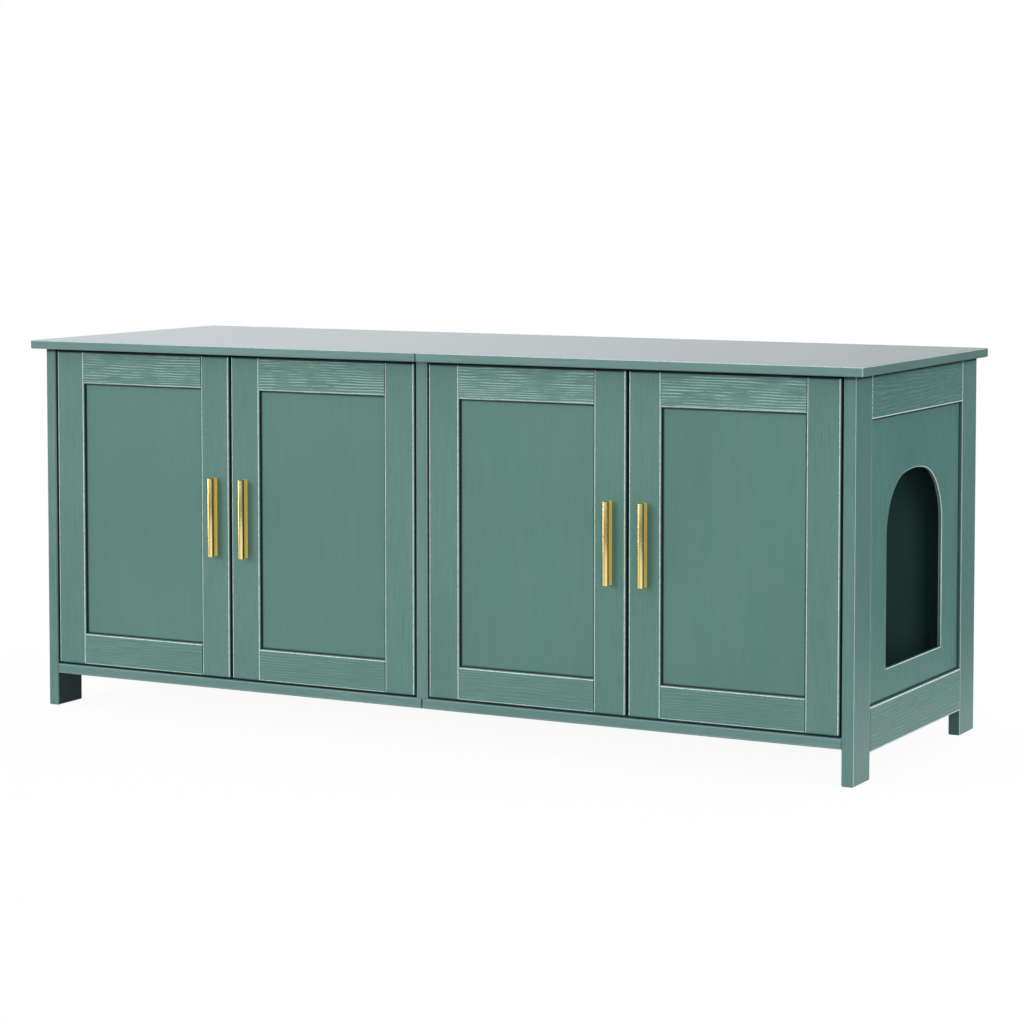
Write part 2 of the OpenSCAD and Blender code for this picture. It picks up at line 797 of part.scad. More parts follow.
// A pull's section: a rounded front, a hollowed waist and a flat foot, from the door outwards
module pull_section() {
    difference() {
        intersection() {
            translate([-pull_w / 2, 0]) square([pull_w, pull_out]);
            union() {
                translate([-pull_w / 2, 0]) square([pull_w, pull_out - pull_crown]);
                translate([0, pull_out - crown_r]) circle(crown_r);
            }
        }
        for (s = SIDES)
            translate([s * (pull_w / 2 + waist_r - pull_waist), pull_foot + waist_span])
                circle(waist_r, $fn = 96);
    }
}

module pull() {
    difference() {
        translate([pull_x, 0, door_h / 2 - pull_l / 2]) mirror([0, 1, 0]) linear_extrude(pull_l) pull_section();
        for (z = pull_zs)
            translate([pull_x, -(pull_thread + end_gap) / 2 + past / 2, z])
                bar_y(pull_screw_d + 2 * pin_fit, pull_thread + end_gap + past);
    }
}

module hinge_cup() {
    difference() {
        union() {
            translate([cup_x, (cup_floor + hole_fit + door_t) / 2, 0]) bar_y(2 * cup_r, cup_depth - hole_fit);
            translate([cup_x, door_t + rim_t / 2, 0]) bar_y(2 * (cup_r + rim_w), rim_t);
            translate([wing_screw_x - wing_w / 2, door_t, -wing_h / 2]) cube([wing_w, rim_t, wing_h]);
        }
        intersection() {
            translate([cup_x, door_t, 0]) bar_y(2 * cave_r, 2 * (cup_depth - hole_fit - cup_wall));
            translate([cup_x, door_t, 0]) cube([cup_d, 2 * cup_depth, 2 * cave_half_h], center = true);
        }
        translate([pivot_in, pivot_back, 0]) bar_z(pin_d + 2 * pin_fit, cup_d);
        for (s = SIDES)
            translate([wing_screw_x, door_t + rim_t, s * wing_pitch / 2])
                rotate([0, 0, -90]) wood_screw_hole();
    }
}

module hinge_cups() for (z = hinge_zs) translate([0, 0, z]) hinge_cup();

module hinge_pins() for (z = hinge_zs) translate([pivot_in, pivot_back, z]) bar_z(pin_d, 2 * pin_half);

// The four screws of the cups, and the two machine screws of the pull with their round heads
module door_screws() {
    for (z = hinge_zs, s = SIDES)
        translate([wing_screw_x, door_t + rim_t, z + s * wing_pitch / 2]) rotate([0, 0, -90]) wood_screw();
    for (z = pull_zs) translate([pull_x, door_t, z]) difference() {
        union() {
            translate([0, -(door_t + pull_thread) / 2 + past / 2, 0])
                bar_y(pull_screw_d, door_t + pull_thread + past);
            translate([0, pull_head_t / 2, 0]) bar_y(pull_head_d, pull_head_t);
        }
        for (turn = [0, 90]) translate([0, pull_head_t, 0]) rotate([0, turn, 0])
            cube([slot_w, 2 * slot_depth, 0.6 * pull_head_d], center = true);
    }
}

module door_piece(i, piece) in_door(i) {
    if (piece == "hinge_stile") color(PAINT) hinge_stile();
    if (piece == "handle_stile") color(PAINT) handle_stile();
    if (piece == "top_rail") color(PAINT) door_rail(1);
    if (piece == "bottom_rail") color(PAINT) door_rail(0);
    if (piece == "panel") color(PAINT_DARK) door_panel();
    if (piece == "pull") color(BRASS) pull();
    if (piece == "hinge_cups") color(STEEL) hinge_cups();
    if (piece == "hinge_pins") color(STEEL) hinge_pins();
    if (piece == "screws") color(STEEL) door_screws();
}

// The pieces
top_left();
top_right();
bottom_left();
bottom_right();
left_front_leg();
left_rear_leg();
left_top_rail();
left_bottom_rail();
left_panel();
right_front_leg();
right_rear_leg();
right_top_rail();
right_bottom_rail();
arch_panel();
divider();
back_left();
back_right();
middle_foot();
hinge_arms();
brackets();
wood_screws();
dowels();
cam_bolts();
cam_discs();
for (i = DOORS, piece = DOOR_NODES)
    door_piece(i, piece);
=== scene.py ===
"""Dresses the cat house: painted boards, pale arrises of wear and painted highlight, gold pulls and fittings,
in a pale studio.
"""

import logging
import math
from dataclasses import dataclass, replace
from enum import Enum
from typing import Any, Callable, Mapping, Union

import bmesh
import bpy
import numpy as np
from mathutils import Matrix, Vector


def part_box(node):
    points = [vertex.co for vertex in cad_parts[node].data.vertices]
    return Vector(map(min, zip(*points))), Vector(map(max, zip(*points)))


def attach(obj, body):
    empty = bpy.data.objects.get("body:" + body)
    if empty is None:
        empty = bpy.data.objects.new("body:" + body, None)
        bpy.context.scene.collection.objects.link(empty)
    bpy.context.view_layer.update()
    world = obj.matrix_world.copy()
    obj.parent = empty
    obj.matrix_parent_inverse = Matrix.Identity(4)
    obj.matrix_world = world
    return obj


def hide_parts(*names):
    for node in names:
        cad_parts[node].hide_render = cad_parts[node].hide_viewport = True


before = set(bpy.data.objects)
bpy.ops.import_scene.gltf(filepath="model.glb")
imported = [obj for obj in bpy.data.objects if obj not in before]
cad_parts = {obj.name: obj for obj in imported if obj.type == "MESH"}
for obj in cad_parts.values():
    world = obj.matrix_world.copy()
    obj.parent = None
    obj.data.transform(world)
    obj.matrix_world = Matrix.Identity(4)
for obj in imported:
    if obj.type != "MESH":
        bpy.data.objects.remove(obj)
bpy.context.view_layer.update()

LOG = logging.getLogger("cat_house")
MM = 0.001
TINY = 1e-9
DOORS = range(1, 5)
LEGS = ("front_leg", "rear_leg")
STILES = ("hinge_stile", "handle_stile")
Pair = tuple[float, float]
Triple = tuple[float, float, float]
Colour = tuple[float, float, float]

# The grain's noises: how many lumps each has in a metre, before it is drawn out along the grain.
BEND_LUMPS, WOBBLE_LUMPS, PATCH_LUMPS = 13.0, 45.0, 60.0
FIBRE_LUMPS, STREAK_LUMPS, CLOUD_LUMPS = 420.0, 60.0, 3.0
# How far the bend and the wobble push a ridge aside, in ridges.
BEND_PUSH, WOBBLE_PUSH = 5.0, 0.9
# What a length along the grain counts for in the long, medium, short and fine noises.
DRAWN_OUT = (0.12, 0.3, 0.5, 0.06)
# What depth counts for in the distance across the grain, so that ridges run on round an edge.
SKEW = 0.7
# How the pattern moves from one board to the next, as shares of its span in metres.
SEED_STEP, SEED_SPAN = (0.731, 0.417, 0.893), 3.0
# The normal's part along an axis at which a side starts to count as facing along it, and fully does.
FACING = (0.9, 0.98)


def triple(values: np.ndarray) -> Triple:
    """Turns an array of three into plain numbers."""
    return tuple(float(v) for v in values)


def painted(red: int, green: int, blue: int) -> Colour:
    """Turns a colour as seen on a screen, 0 to 255, into the linear values that a shader takes.

    Args:
        red: the screen's red.
        green: the screen's green.
        blue: the screen's blue.

    Returns:
        The same colour as linear values from 0 to 1.
    """
    seen = np.array([red, green, blue], float) / 255.0
    linear = np.where(seen <= 0.04045, seen / 12.92, ((seen + 0.055) / 1.055) ** 2.4)
    return triple(linear)


# Shader nodes


def sum_of(operation: str, swapped: bool = False) -> Callable[["Strand", "Value"], "Strand"]:
    """Makes an operator on strands.

    Args:
        operation: what its Math node works out.
        swapped: puts the other value first.

    Returns:
        The operator.
    """

    def operator(self: "Strand", other: "Value") -> "Strand":
        """Adds the Math node."""
        return self.sheet.maths(operation, *((other, self) if swapped else (self, other)))

    return operator


class Strand:
    """One socket of a material, so that shader sums can be written as plain Python expressions."""

    def __init__(self, sheet: "Sheet", socket: bpy.types.NodeSocket) -> None:
        """Keeps the socket and the sheet of nodes that it belongs to."""
        self.sheet = sheet
        self.socket = socket

    __add__ = sum_of("ADD")
    __sub__ = sum_of("SUBTRACT")
    __rsub__ = sum_of("SUBTRACT", True)
    __mul__ = sum_of("MULTIPLY")
    __truediv__ = sum_of("DIVIDE")
    __pow__ = sum_of("POWER")


Value = Union[float, Strand]


class Sheet:
    """The nodes of one material or world."""

    def __init__(self, tree: bpy.types.NodeTree) -> None:
        """Starts with no nodes."""
        self.tree = tree
        tree.nodes.clear()

    def node(
        self,
        kind: str,
        settings: Mapping[str, Any] | None = None,
        inputs: Mapping[str | int, Any] | None = None,
    ) -> bpy.types.Node:
        """Adds one node.

        Args:
            kind: the node's type.
            settings: its own settings, which are set first.
            inputs: what its sockets hold: a value, or a strand to link.

        Returns:
            The new node.
        """
        made = self.tree.nodes.new(kind)
        for name, value in (settings or {}).items():
            setattr(made, name, value)
        for key, value in (inputs or {}).items():
            socket = made.inputs[key]
            if isinstance(value, Strand):
                self.tree.links.new(value.socket, socket)
            else:
                socket.default_value = value
        return made

    def take(self, made: bpy.types.Node, output: str | int = 0) -> Strand:
        """Wraps one output of a node."""
        return Strand(self, made.outputs[output])

    def maths(self, operation: str, *values: Value) -> Strand:
        """Adds a Math node that works on numbers or strands, and gives its result."""
        return self.take(self.node("ShaderNodeMath", {"operation": operation}, dict(enumerate(values))))

    def coords(self, output: str) -> Strand:
        """Reads one kind of coordinate."""
        return self.take(self.node("ShaderNodeTexCoord"), output)

    def place(self, shift: Triple = (0.0, 0.0, 0.0), stretch: Triple = (1.0, 1.0, 1.0)) -> Strand:
        """Gives the point on the piece, in metres, each axis multiplied by its stretch and then shifted."""
        inputs = {"Vector": self.coords("Object"), "Location": shift, "Scale": stretch}
        return self.take(self.node("ShaderNodeMapping", {"vector_type": "POINT"}, inputs))

    def split(self, vector: Strand) -> tuple[Strand, Strand, Strand]:
        """Gives the three parts of a vector."""
        made = self.node("ShaderNodeSeparateXYZ", None, {0: vector})
        return self.take(made, 0), self.take(made, 1), self.take(made, 2)

    def noise(self, point: Strand, scale: float, detail: float = 2.0, rough: float = 0.5) -> Strand:
        """Gives smooth noise from 0 to 1: so many lumps in a unit, with so many finer layers, so strong."""
        inputs = {"Vector": point, "Scale": scale, "Detail": detail, "Roughness": rough}
        return self.take(self.node("ShaderNodeTexNoise", None, inputs), 0)

    def ease(
        self, value: Strand, low: float, high: float, to_low: float = 0.0, to_high: float = 1.0
    ) -> Strand:
        """Goes smoothly from one level to another as a value goes from low to high, and is level beyond."""
        inputs = {"Value": value, "From Min": low, "From Max": high, "To Min": to_low, "To Max": to_high}
        return self.take(self.node("ShaderNodeMapRange", {"interpolation_type": "SMOOTHSTEP"}, inputs), 0)

    def blend(self, share: Value, first: Any, second: Any) -> Strand:
        """Mixes two colours or strands, with so much of the second."""
        one, two = ((*c, 1.0) if isinstance(c, tuple) else c for c in (first, second))
        return self.take(self.node("ShaderNodeMix", {"data_type": "RGBA"}, {0: share, 6: one, 7: two}), 2)

    def bump(self, height: Strand, depth: float, strength: float) -> Strand:
        """Turns a height into a normal. A height of 1 stands for the depth, which is in metres."""
        inputs = {"Height": height, "Distance": depth, "Strength": strength}
        return self.take(self.node("ShaderNodeBump", None, inputs), 0)

    def finish(self, sockets: Mapping[str, Any]) -> None:
        """Ends the sheet with the main shader, whose sockets hold what is given, and its output."""
        shader = self.node("ShaderNodeBsdfPrincipled", None, sockets)
        self.node("ShaderNodeOutputMaterial", None, {"Surface": self.take(shader)})


def new_material(name: str) -> tuple[bpy.types.Material, Sheet]:
    """Makes an empty material.

    Args:
        name: its name.

    Returns:
        The material and its sheet of nodes.
    """
    material = bpy.data.materials.new(name)
    material.use_nodes = True
    return material, Sheet(material.node_tree)


# Finishes


class Run(Enum):
    """The way that a board's grain runs. The three numbers mark its own axis."""

    ALONG_X = (1.0, 0.0, 0.0)
    ALONG_Y = (0.0, 1.0, 0.0)
    ALONG_Z = (0.0, 0.0, 1.0)


class Arris(Enum):
    """Which edges get the pale line of wear and painted highlight: a board's long edges, all its edges, the
    rim of a hole, or none.
    """

    LONG = "long"
    ALL = "all"
    RIM = "rim"
    NONE = "none"


class Ends(Enum):
    """How a board looks where its end meets another board: plain, dotted pale, or a thin dark line."""

    PLAIN = "plain"
    PALE = "pale"
    DARK = "dark"


@dataclass(frozen=True)
class Figure:
    """How strongly the embossed wood grain shows on a kind of board. Lengths are in metres."""

    pitch: float = 5.0 * MM
    wander: float = 1.2
    ridge: float = 0.2
    fibre: float = 0.5
    cool: float = 0.1
    relief: float = 0.25 * MM


@dataclass(frozen=True)
class Space:
    """The box that a board fills, in metres."""

    low: Triple
    high: Triple

    @classmethod
    def of(cls, node: str, spare: Triple = (0.0, 0.0, 0.0)) -> "Space":
        """Takes a CAD node's box, longer by the spare on each axis, at the low end where it is negative."""
        low, high = (np.array(corner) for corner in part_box(node))
        return cls(triple(low + np.minimum(spare, 0.0)), triple(high + np.maximum(spare, 0.0)))


@dataclass(frozen=True)
class Board:
    """What the paint has to know of one board.

    The seed moves the pattern, so that each board has its own, and the ends say how it looks where
    its ends meet other boards. The opening is a space whose borders get the dark joint with painted shade
    beside it: for a panel, the frame's opening that it shows in, and elsewhere where the painted shadow under
    the top's overhang starts. The seam is the x of a seam with the board beside it, in metres.
    """

    name: str
    space: Space
    run: Run
    figure: Figure
    seed: int
    ends: Ends = Ends.PLAIN
    opening: Space | None = None
    seam: float | None = None


@dataclass(frozen=True)
class Paint:
    """Satin green paint over an embossed grain, with pale lines along the arrises that stand for wear and a
    painted highlight.

    The reach is how far the pale strip goes from an edge along each axis, in metres. It goes
    further over the face of a board than round onto its side. The shade is how much painted shade
    darkens the sides that face the gaps and joints: to the left, to the right, downwards and, where
    given, to the front. Each line is a pair of distances, where it fades out and where it is full.
    """

    body: Colour = painted(84, 128, 117)
    low: Colour = painted(66, 108, 96)
    high: Colour = painted(126, 166, 157)
    cool: Colour = painted(112, 142, 142)
    pale_wear_and_highlight: Colour = painted(236, 248, 242)
    # Dark colour for the dark joints, and for the painted shade and painted shadow.
    joint_and_shade_dark: Colour = painted(12, 26, 22)
    sheen: float = 0.38
    gloss: float = 0.42
    coat: float = 0.0
    coat_rough: float = 0.14
    shade: tuple[float, ...] = (0.0, 0.0, 0.0)
    arris: Arris = Arris.LONG
    pale_edge_strength: float = 0.95
    reach: Triple = (2.6 * MM, 0.8 * MM, 2.4 * MM)
    seam_line: Pair = (1.6 * MM, 0.8 * MM)
    joint_and_shadow_line: Pair = (4.4 * MM, 1.4 * MM)
    dark_end: Pair = (2.2 * MM, 1.0 * MM)
    pale_end: Pair = (2.6 * MM, 1.4 * MM)

    def make(self, board: Board) -> bpy.types.Material:
        """Builds the paint for one board.

        The ridges are a sine of the distance across the grain, bent by slow noise and cut to
        uneven lengths by another. Fibres are the noise that is drawn out the most.

        Args:
            board: the board.

        Returns:
            The material.
        """
        material, sheet = new_material(f"paint_{board.name}")
        figure = board.figure
        along = np.array(board.run.value)
        across = 1.0 - along
        shift = triple(np.modf(np.array(SEED_STEP) * board.seed)[0] * SEED_SPAN)
        long, medium, short, fine = (sheet.place(shift, triple(across + part * along)) for part in DRAWN_OUT)
        x, y, z = sheet.split(long)
        depth = x * float(SKEW * across[0] if board.run is Run.ALONG_Y else across[0]) + z * float(across[2])
        distance = depth + y * float(SKEW * across[1])
        bend = sheet.noise(long, BEND_LUMPS) * (BEND_PUSH * figure.wander)
        bend = bend + sheet.noise(short, WOBBLE_LUMPS) * (WOBBLE_PUSH * figure.wander)
        wave = sheet.maths("SINE", (distance / figure.pitch + bend) * (2.0 * math.pi)) * 0.5 + 0.5
        patch = sheet.ease(sheet.noise(medium, PATCH_LUMPS, 3.0, 0.6), 0.38, 0.62)
        fibre = sheet.noise(fine, FIBRE_LUMPS, 4.0, 0.65)
        # Each layer is a share and a tone. A noise shows from its first number on, and fully at its second.
        layers = (
            (sheet.ease(fibre, 0.3, 0.75) * figure.fibre, self.high),
            (sheet.ease(fibre, 0.5, 0.25) * figure.fibre, self.low),
            (sheet.ease(sheet.noise(long, STREAK_LUMPS), 0.42, 0.62) * figure.cool, self.cool),
            (sheet.ease(wave, 0.55, 0.97) * patch * figure.ridge, self.high),
            (sheet.ease(wave, 0.4, 0.0) * patch * (figure.ridge * 0.7), self.low),
            (sheet.ease(sheet.noise(sheet.place(shift), CLOUD_LUMPS), 0.35, 0.65, 0.0, 0.2), self.low),
        )
        colour: Any = self.body
        for share, tone in layers:
            colour = sheet.blend(share, colour, tone)
        height = wave * patch * min(1.0, figure.ridge * 3.0) + fibre * 0.6
        rough = fibre * 0.08 + self.sheen
        # Painted shade: sides that face the gaps, recesses and undersides, and the front where given, go
        # towards the dark colour and are made rougher.
        if any(self.shade):
            aside, ahead, up = sheet.split(sheet.coords("Normal"))
            sides = ((aside, -1.0), (aside, 1.0), (up, -1.0), (ahead, -1.0))
            for (part, sign), share in zip(sides, self.shade):
                painted_shade_share = sheet.ease(part * sign, *FACING) * share
                colour = sheet.blend(painted_shade_share, colour, self.joint_and_shade_dark)
                rough = painted_shade_share * 0.5 + rough
        # The dark joint round a panel with painted shade beside it, or the painted shadow under the top's
        # overhang.
        if board.opening is not None:
            colour = sheet.blend(self.joint_and_shadow(sheet, board.opening), colour, self.joint_and_shade_dark)
        if board.seam is not None:
            gap = sheet.maths("ABSOLUTE", sheet.split(sheet.coords("Object"))[0] - board.seam)
            colour = sheet.blend(sheet.ease(gap, *self.seam_line) * 0.85, colour, self.joint_and_shade_dark)
        if board.ends is not Ends.PLAIN:
            colour = self.ended(sheet, colour, board)
        # The pale arris line stands for wear and a painted highlight.
        if self.arris is not Arris.NONE:
            edge_wear_and_highlight = self.edge_wear_and_highlight(sheet, board)
            colour = sheet.blend(edge_wear_and_highlight, colour, self.pale_wear_and_highlight)
            height = height * (1.0 - edge_wear_and_highlight)
        sheet.finish({
            "Base Color": colour,
            "Roughness": rough,
            "Specular IOR Level": self.gloss,
            "Normal": sheet.bump(height, figure.relief, 0.6),
            "Coat Weight": self.coat,
            "Coat Roughness": self.coat_rough,
        })
        return material

    def inside(self, sheet: Sheet, space: Space) -> list[Strand]:
        """Measures how deep in a box a point is on each axis: half its length less the way to its middle."""
        parts = zip(sheet.split(sheet.coords("Object")), space.low, space.high)
        return [(high - low) / 2 - sheet.maths("ABSOLUTE", at - (low + high) / 2) for at, low, high in parts]

    def edge_gap(self, sheet: Sheet, board: Board) -> Strand:
        """Measures how far a point on the board's skin is from the nearest edge, in reaches.

        On a flat face the axis across the face gives 0, so the larger of the two axes across
        the grain is the distance to a long edge, and the middle one of all three is the distance
        to any edge.

        Args:
            sheet: the material's nodes.
            board: the board.

        Returns:
            The distance, where 1 is where the pale strip ends.
        """
        gaps = [gap / reach for gap, reach in zip(self.inside(sheet, board.space), self.reach)]
        if self.arris is Arris.LONG:
            first, second = (gap for gap, mark in zip(gaps, board.run.value) if mark == 0.0)
            return sheet.maths("MAXIMUM", first, second)
        a, b, c = gaps
        wide = sheet.maths("MINIMUM", sheet.maths("MAXIMUM", a, b), c)
        return sheet.maths("MAXIMUM", sheet.maths("MINIMUM", a, b), wide)

    def edge_wear_and_highlight(self, sheet: Sheet, board: Board) -> Strand:
        """Marks the pale strip along an edge, which stands for wear and a painted highlight.

        On the rim of a hole it is 4 times the squares of the normal along and across X, which is
        1 on the slanting rim alone. Noise breaks the strip and changes its width.

        Args:
            sheet: the material's nodes.
            board: the board.

        Returns:
            The share of the pale edge colour, from 0 to 1.
        """
        point = sheet.place((0.13, 0.29, 0.41))
        breaks = sheet.ease(sheet.noise(point, 330.0, 3.0, 0.6), 0.36, 0.52, 0.6, 1.0)
        if self.arris is Arris.RIM:
            x = sheet.split(sheet.coords("Normal"))[0]
            return sheet.ease(x * x * (1.0 - x * x) * 4.0, 0.1, 0.3) * breaks * self.pale_edge_strength
        ragged = sheet.noise(point, 160.0) * 0.3 - 0.15
        return sheet.ease(self.edge_gap(sheet, board) + ragged, 1.08, 0.9) * breaks * self.pale_edge_strength

    def joint_and_shadow(self, sheet: Sheet, opening: Space) -> Strand:
        """Marks the dark joint round a panel with painted shade beside it, or the painted shadow under the
        top's overhang: the nearer of the opening's sides, in the panel's plane.

        Args:
            sheet: the material's nodes.
            opening: the opening. Its thin axis is the board's own thickness.

        Returns:
            The share of the dark joint, painted shade and painted shadow, from 0 to 1. It is less on a face
            that looks up.
        """
        sizes = [high - low for low, high in zip(opening.low, opening.high)]
        level = sheet.ease(sheet.split(sheet.coords("Normal"))[2], 0.5, 0.9, 0.93, 0.6)
        first, second = (gap for gap, size in zip(self.inside(sheet, opening), sizes) if size != min(sizes))
        return sheet.ease(sheet.maths("MINIMUM", first, second), *self.joint_and_shadow_line) * level

    def ended(self, sheet: Sheet, colour: Strand, board: Board) -> Strand:
        """Draws the line where a board's ends meet other boards.

        Args:
            sheet: the material's nodes.
            colour: the paint so far.
            board: the board.

        Returns:
            The paint with the line.
        """
        gap = next(gap for gap, mark in zip(self.inside(sheet, board.space), board.run.value) if mark == 1.0)
        if board.ends is Ends.DARK:
            return sheet.blend(sheet.ease(gap, *self.dark_end) * 0.7, colour, self.joint_and_shade_dark)
        dots = sheet.ease(sheet.noise(sheet.place((0.2, 0.1, 0.3)), 260.0), 0.42, 0.54, 0.1, 1.0)
        return sheet.blend(sheet.ease(gap, *self.pale_end) * dots * 0.7, colour, self.pale_wear_and_highlight)


@dataclass(frozen=True)
class Gold:
    """Gold plating with a fine lengthwise brushing, a painted highlight at the bead's edges and painted shade
    in the hollow.

    The hollow is its distance from the door. The flank's pair is how far from the door the flank's
    own tone starts and is full, and the fade is how far from the hollow the painted shade ends and is full.
    """

    # The light tone is the painted highlight on the bead's edges.
    light: Colour = painted(255, 238, 176)
    deep: Colour = painted(228, 194, 106)
    flank: Colour = painted(255, 220, 116)
    hollow_shade: Colour = painted(150, 92, 4)
    hollow: float = 10.8 * MM
    flank_line: Pair = (14.5 * MM, 11.0 * MM)
    fade: Pair = (4.0 * MM, 1.8 * MM)

    def make(self, door_face: float) -> bpy.types.Material:
        """Builds the plating, with hair lines along Z.

        The bead is painted brighter where it turns to the sides, by the share of X in its normal, as a
        painted highlight. The painted shade in the hollow follows the distance from the door: it is deepest
        at the hollow's own distance and fades out towards the foot and the bead.

        Args:
            door_face: the y of the doors' front face, in metres.

        Returns:
            The material.
        """
        material, sheet = new_material("gold_plating")
        hair = sheet.noise(sheet.place(stretch=(1.0, 1.0, 0.02)), 2600.0, 3.0, 0.6)
        aside = sheet.maths("ABSOLUTE", sheet.split(sheet.coords("Normal"))[0])
        off = door_face - sheet.split(sheet.coords("Object"))[1]
        behind = sheet.ease(off, *self.flank_line)
        # Painted highlight: the bead goes to the light tone where its normal turns to the sides.
        colour = sheet.blend(sheet.ease(aside, 0.14, 0.55) * (hair * 0.4 + 0.8), self.deep, self.light)
        colour = sheet.blend(behind, colour, self.flank)
        # Painted shade in the hollow between the bead and the foot.
        hollow_shade_share = sheet.ease(sheet.maths("ABSOLUTE", off - self.hollow), *self.fade) * 0.96
        sheet.finish({
            "Base Color": sheet.blend(hollow_shade_share, colour, self.hollow_shade),
            "Metallic": 1.0 - behind * (1.0 - hollow_shade_share) * 0.8,
            "Roughness": hair * 0.06 + 0.2,
            "Normal": sheet.bump(hair, 0.003 * MM, 0.4),
        })
        return material


@dataclass(frozen=True)
class Metal:
    """A plated or cast metal, with its own grain size and unevenness."""

    name: str
    light: Colour
    dark: Colour
    rough: float = 0.25
    grain: float = 900.0
    relief: float = 0.03 * MM

    def make(self) -> bpy.types.Material:
        """Builds the metal: fine speckle in its roughness and height, slow clouds in its tone.

        Returns:
            The material.
        """
        material, sheet = new_material(self.name)
        point = sheet.place((0.1, 0.3, 0.7))
        speckle = sheet.noise(point, self.grain, 3.0, 0.6)
        cloud = sheet.noise(point, 90.0)
        sheet.finish({
            "Base Color": sheet.blend(sheet.ease(cloud, 0.3, 0.7), self.light, self.dark),
            "Metallic": 1.0,
            "Roughness": speckle * 0.18 + self.rough,
            "Normal": sheet.bump(speckle, self.relief, 0.5),
        })
        return material


@dataclass(frozen=True)
class Beech:
    """Bare beech with short dark flecks, for the dowels."""

    light: Colour = painted(222, 190, 148)
    dark: Colour = painted(186, 146, 102)

    def make(self) -> bpy.types.Material:
        """Builds the wood from fine noise, with flecks where the noise is high.

        Returns:
            The material.
        """
        material, sheet = new_material("bare_beech")
        point = sheet.place((0.2, 0.5, 0.1))
        fibre = sheet.noise(point, 700.0, 4.0, 0.6)
        fleck = sheet.ease(sheet.noise(point, 300.0), 0.56, 0.66)
        tone = sheet.blend(fibre, self.light, self.dark)
        sheet.finish({
            "Base Color": sheet.blend(fleck * 0.6, tone, self.dark),
            "Roughness": fibre * 0.2 + 0.55,
            "Normal": sheet.bump(fibre, 0.08 * MM, 0.5),
        })
        return material


# Surfaces


def put(name: str, data: bpy.types.ID) -> bpy.types.Object:
    """Makes an object and puts it in the scene.

    Args:
        name: its name.
        data: its mesh, lamp or camera.

    Returns:
        The object.
    """
    made = bpy.data.objects.new(name, data)
    bpy.context.scene.collection.objects.link(made)
    return made


def add_piece(name: str, points: np.ndarray, faces: np.ndarray, smooth: bool = True) -> bpy.types.Object:
    """Makes an object from whole arrays, with its place in its mesh.

    Args:
        name: the piece's name.
        points: one row for each vertex, in metres.
        faces: one row of four vertex numbers for each face.
        smooth: shades it as one soft surface.

    Returns:
        The new object, at the origin.
    """
    mesh = bpy.data.meshes.new(name)
    mesh.from_pydata(points.tolist(), [], faces.tolist())
    mesh.polygons.foreach_set("use_smooth", np.full(len(faces), smooth))
    mesh.update()
    return put(name, mesh)


def tube_faces(rings: int, around: int, close_rings: bool) -> np.ndarray:
    """Numbers the faces of a grid of closed rings.

    Args:
        rings: how many rings there are.
        around: how many points each ring has.
        close_rings: joins the last ring to the first.

    Returns:
        One row of four vertex numbers for each face.
    """
    last = rings if close_rings else rings - 1
    ring, step = np.meshgrid(np.arange(last), np.arange(around), indexing="ij")
    after, beside = (ring + 1) % rings, (step + 1) % around
    corners = [ring * around + step, ring * around + beside, after * around + beside, after * around + step]
    return np.stack(corners, axis=-1).reshape(-1, 4)


def tidy_mesh(piece: bpy.types.Object, gap: float = 0.001 * MM) -> None:
    """Merges doubled points and turns every face outwards.

    Args:
        piece: the object.
        gap: how near two points are before they become one.
    """
    work = bmesh.new()
    work.from_mesh(piece.data)
    bmesh.ops.remove_doubles(work, verts=work.verts, dist=gap)
    bmesh.ops.dissolve_degenerate(work, edges=work.edges, dist=gap * 0.1)
    bmesh.ops.recalc_face_normals(work, faces=work.faces)
    work.to_mesh(piece.data)
    work.free()


def dress(piece: bpy.types.Object, material: bpy.types.Material) -> None:
    """Gives a whole piece one material."""
    piece.data.materials.clear()
    piece.data.materials.append(material)


def softened_copy(
    node: str, name: str, ease: float, material: bpy.types.Material, body: str, sharp: float = 40.0
) -> None:
    """Stands in for a CAD node with its own copy, merged, whose sharp edges are rounded.

    Args:
        node: the CAD node.
        name: the new piece's name.
        ease: the width of the rounding, in metres.
        material: its finish.
        body: the body that it rides on.
        sharp: the least angle of an edge that is rounded, in degrees.
    """
    made = put(name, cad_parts[node].data.copy())
    tidy_mesh(made)
    bevel = made.modifiers.new("rounded_edges", "BEVEL")
    bevel.width = ease
    bevel.segments = 2
    bevel.limit_method = "ANGLE"
    bevel.angle_limit = math.radians(sharp)
    made.data.polygons.foreach_set("use_smooth", np.full(len(made.data.polygons), False))
    dress(made, material)
    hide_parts(node)
    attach(made, body)


def frame_opening(panel: str, own: str, uprights: tuple[str, str]) -> Space:
    """Works out the opening of a frame that a panel shows in.

    Across, it lies between the facing sides of the two uprights, and upwards between the two
    rails. Through the panel it has the panel's own thickness.

    Args:
        panel: the panel's CAD node.
        own: what the names of the frame's boards start with.
        uprights: how the names of its two uprights end.

    Returns:
        The opening.
    """
    low, high = (np.array(corner, float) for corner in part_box(panel))
    wide = int(np.argmax((high - low)[:2]))
    sides = sorted((np.array(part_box(f"{own}_{name}"), float)[:, wide] for name in uprights), key=sum)
    low[wide], high[wide] = sides[0][1], sides[1][0]
    low[2], high[2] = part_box(f"{own}_bottom_rail")[1][2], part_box(f"{own}_top_rail")[0][2]
    return Space(triple(low), triple(high))


# Sub-assemblies


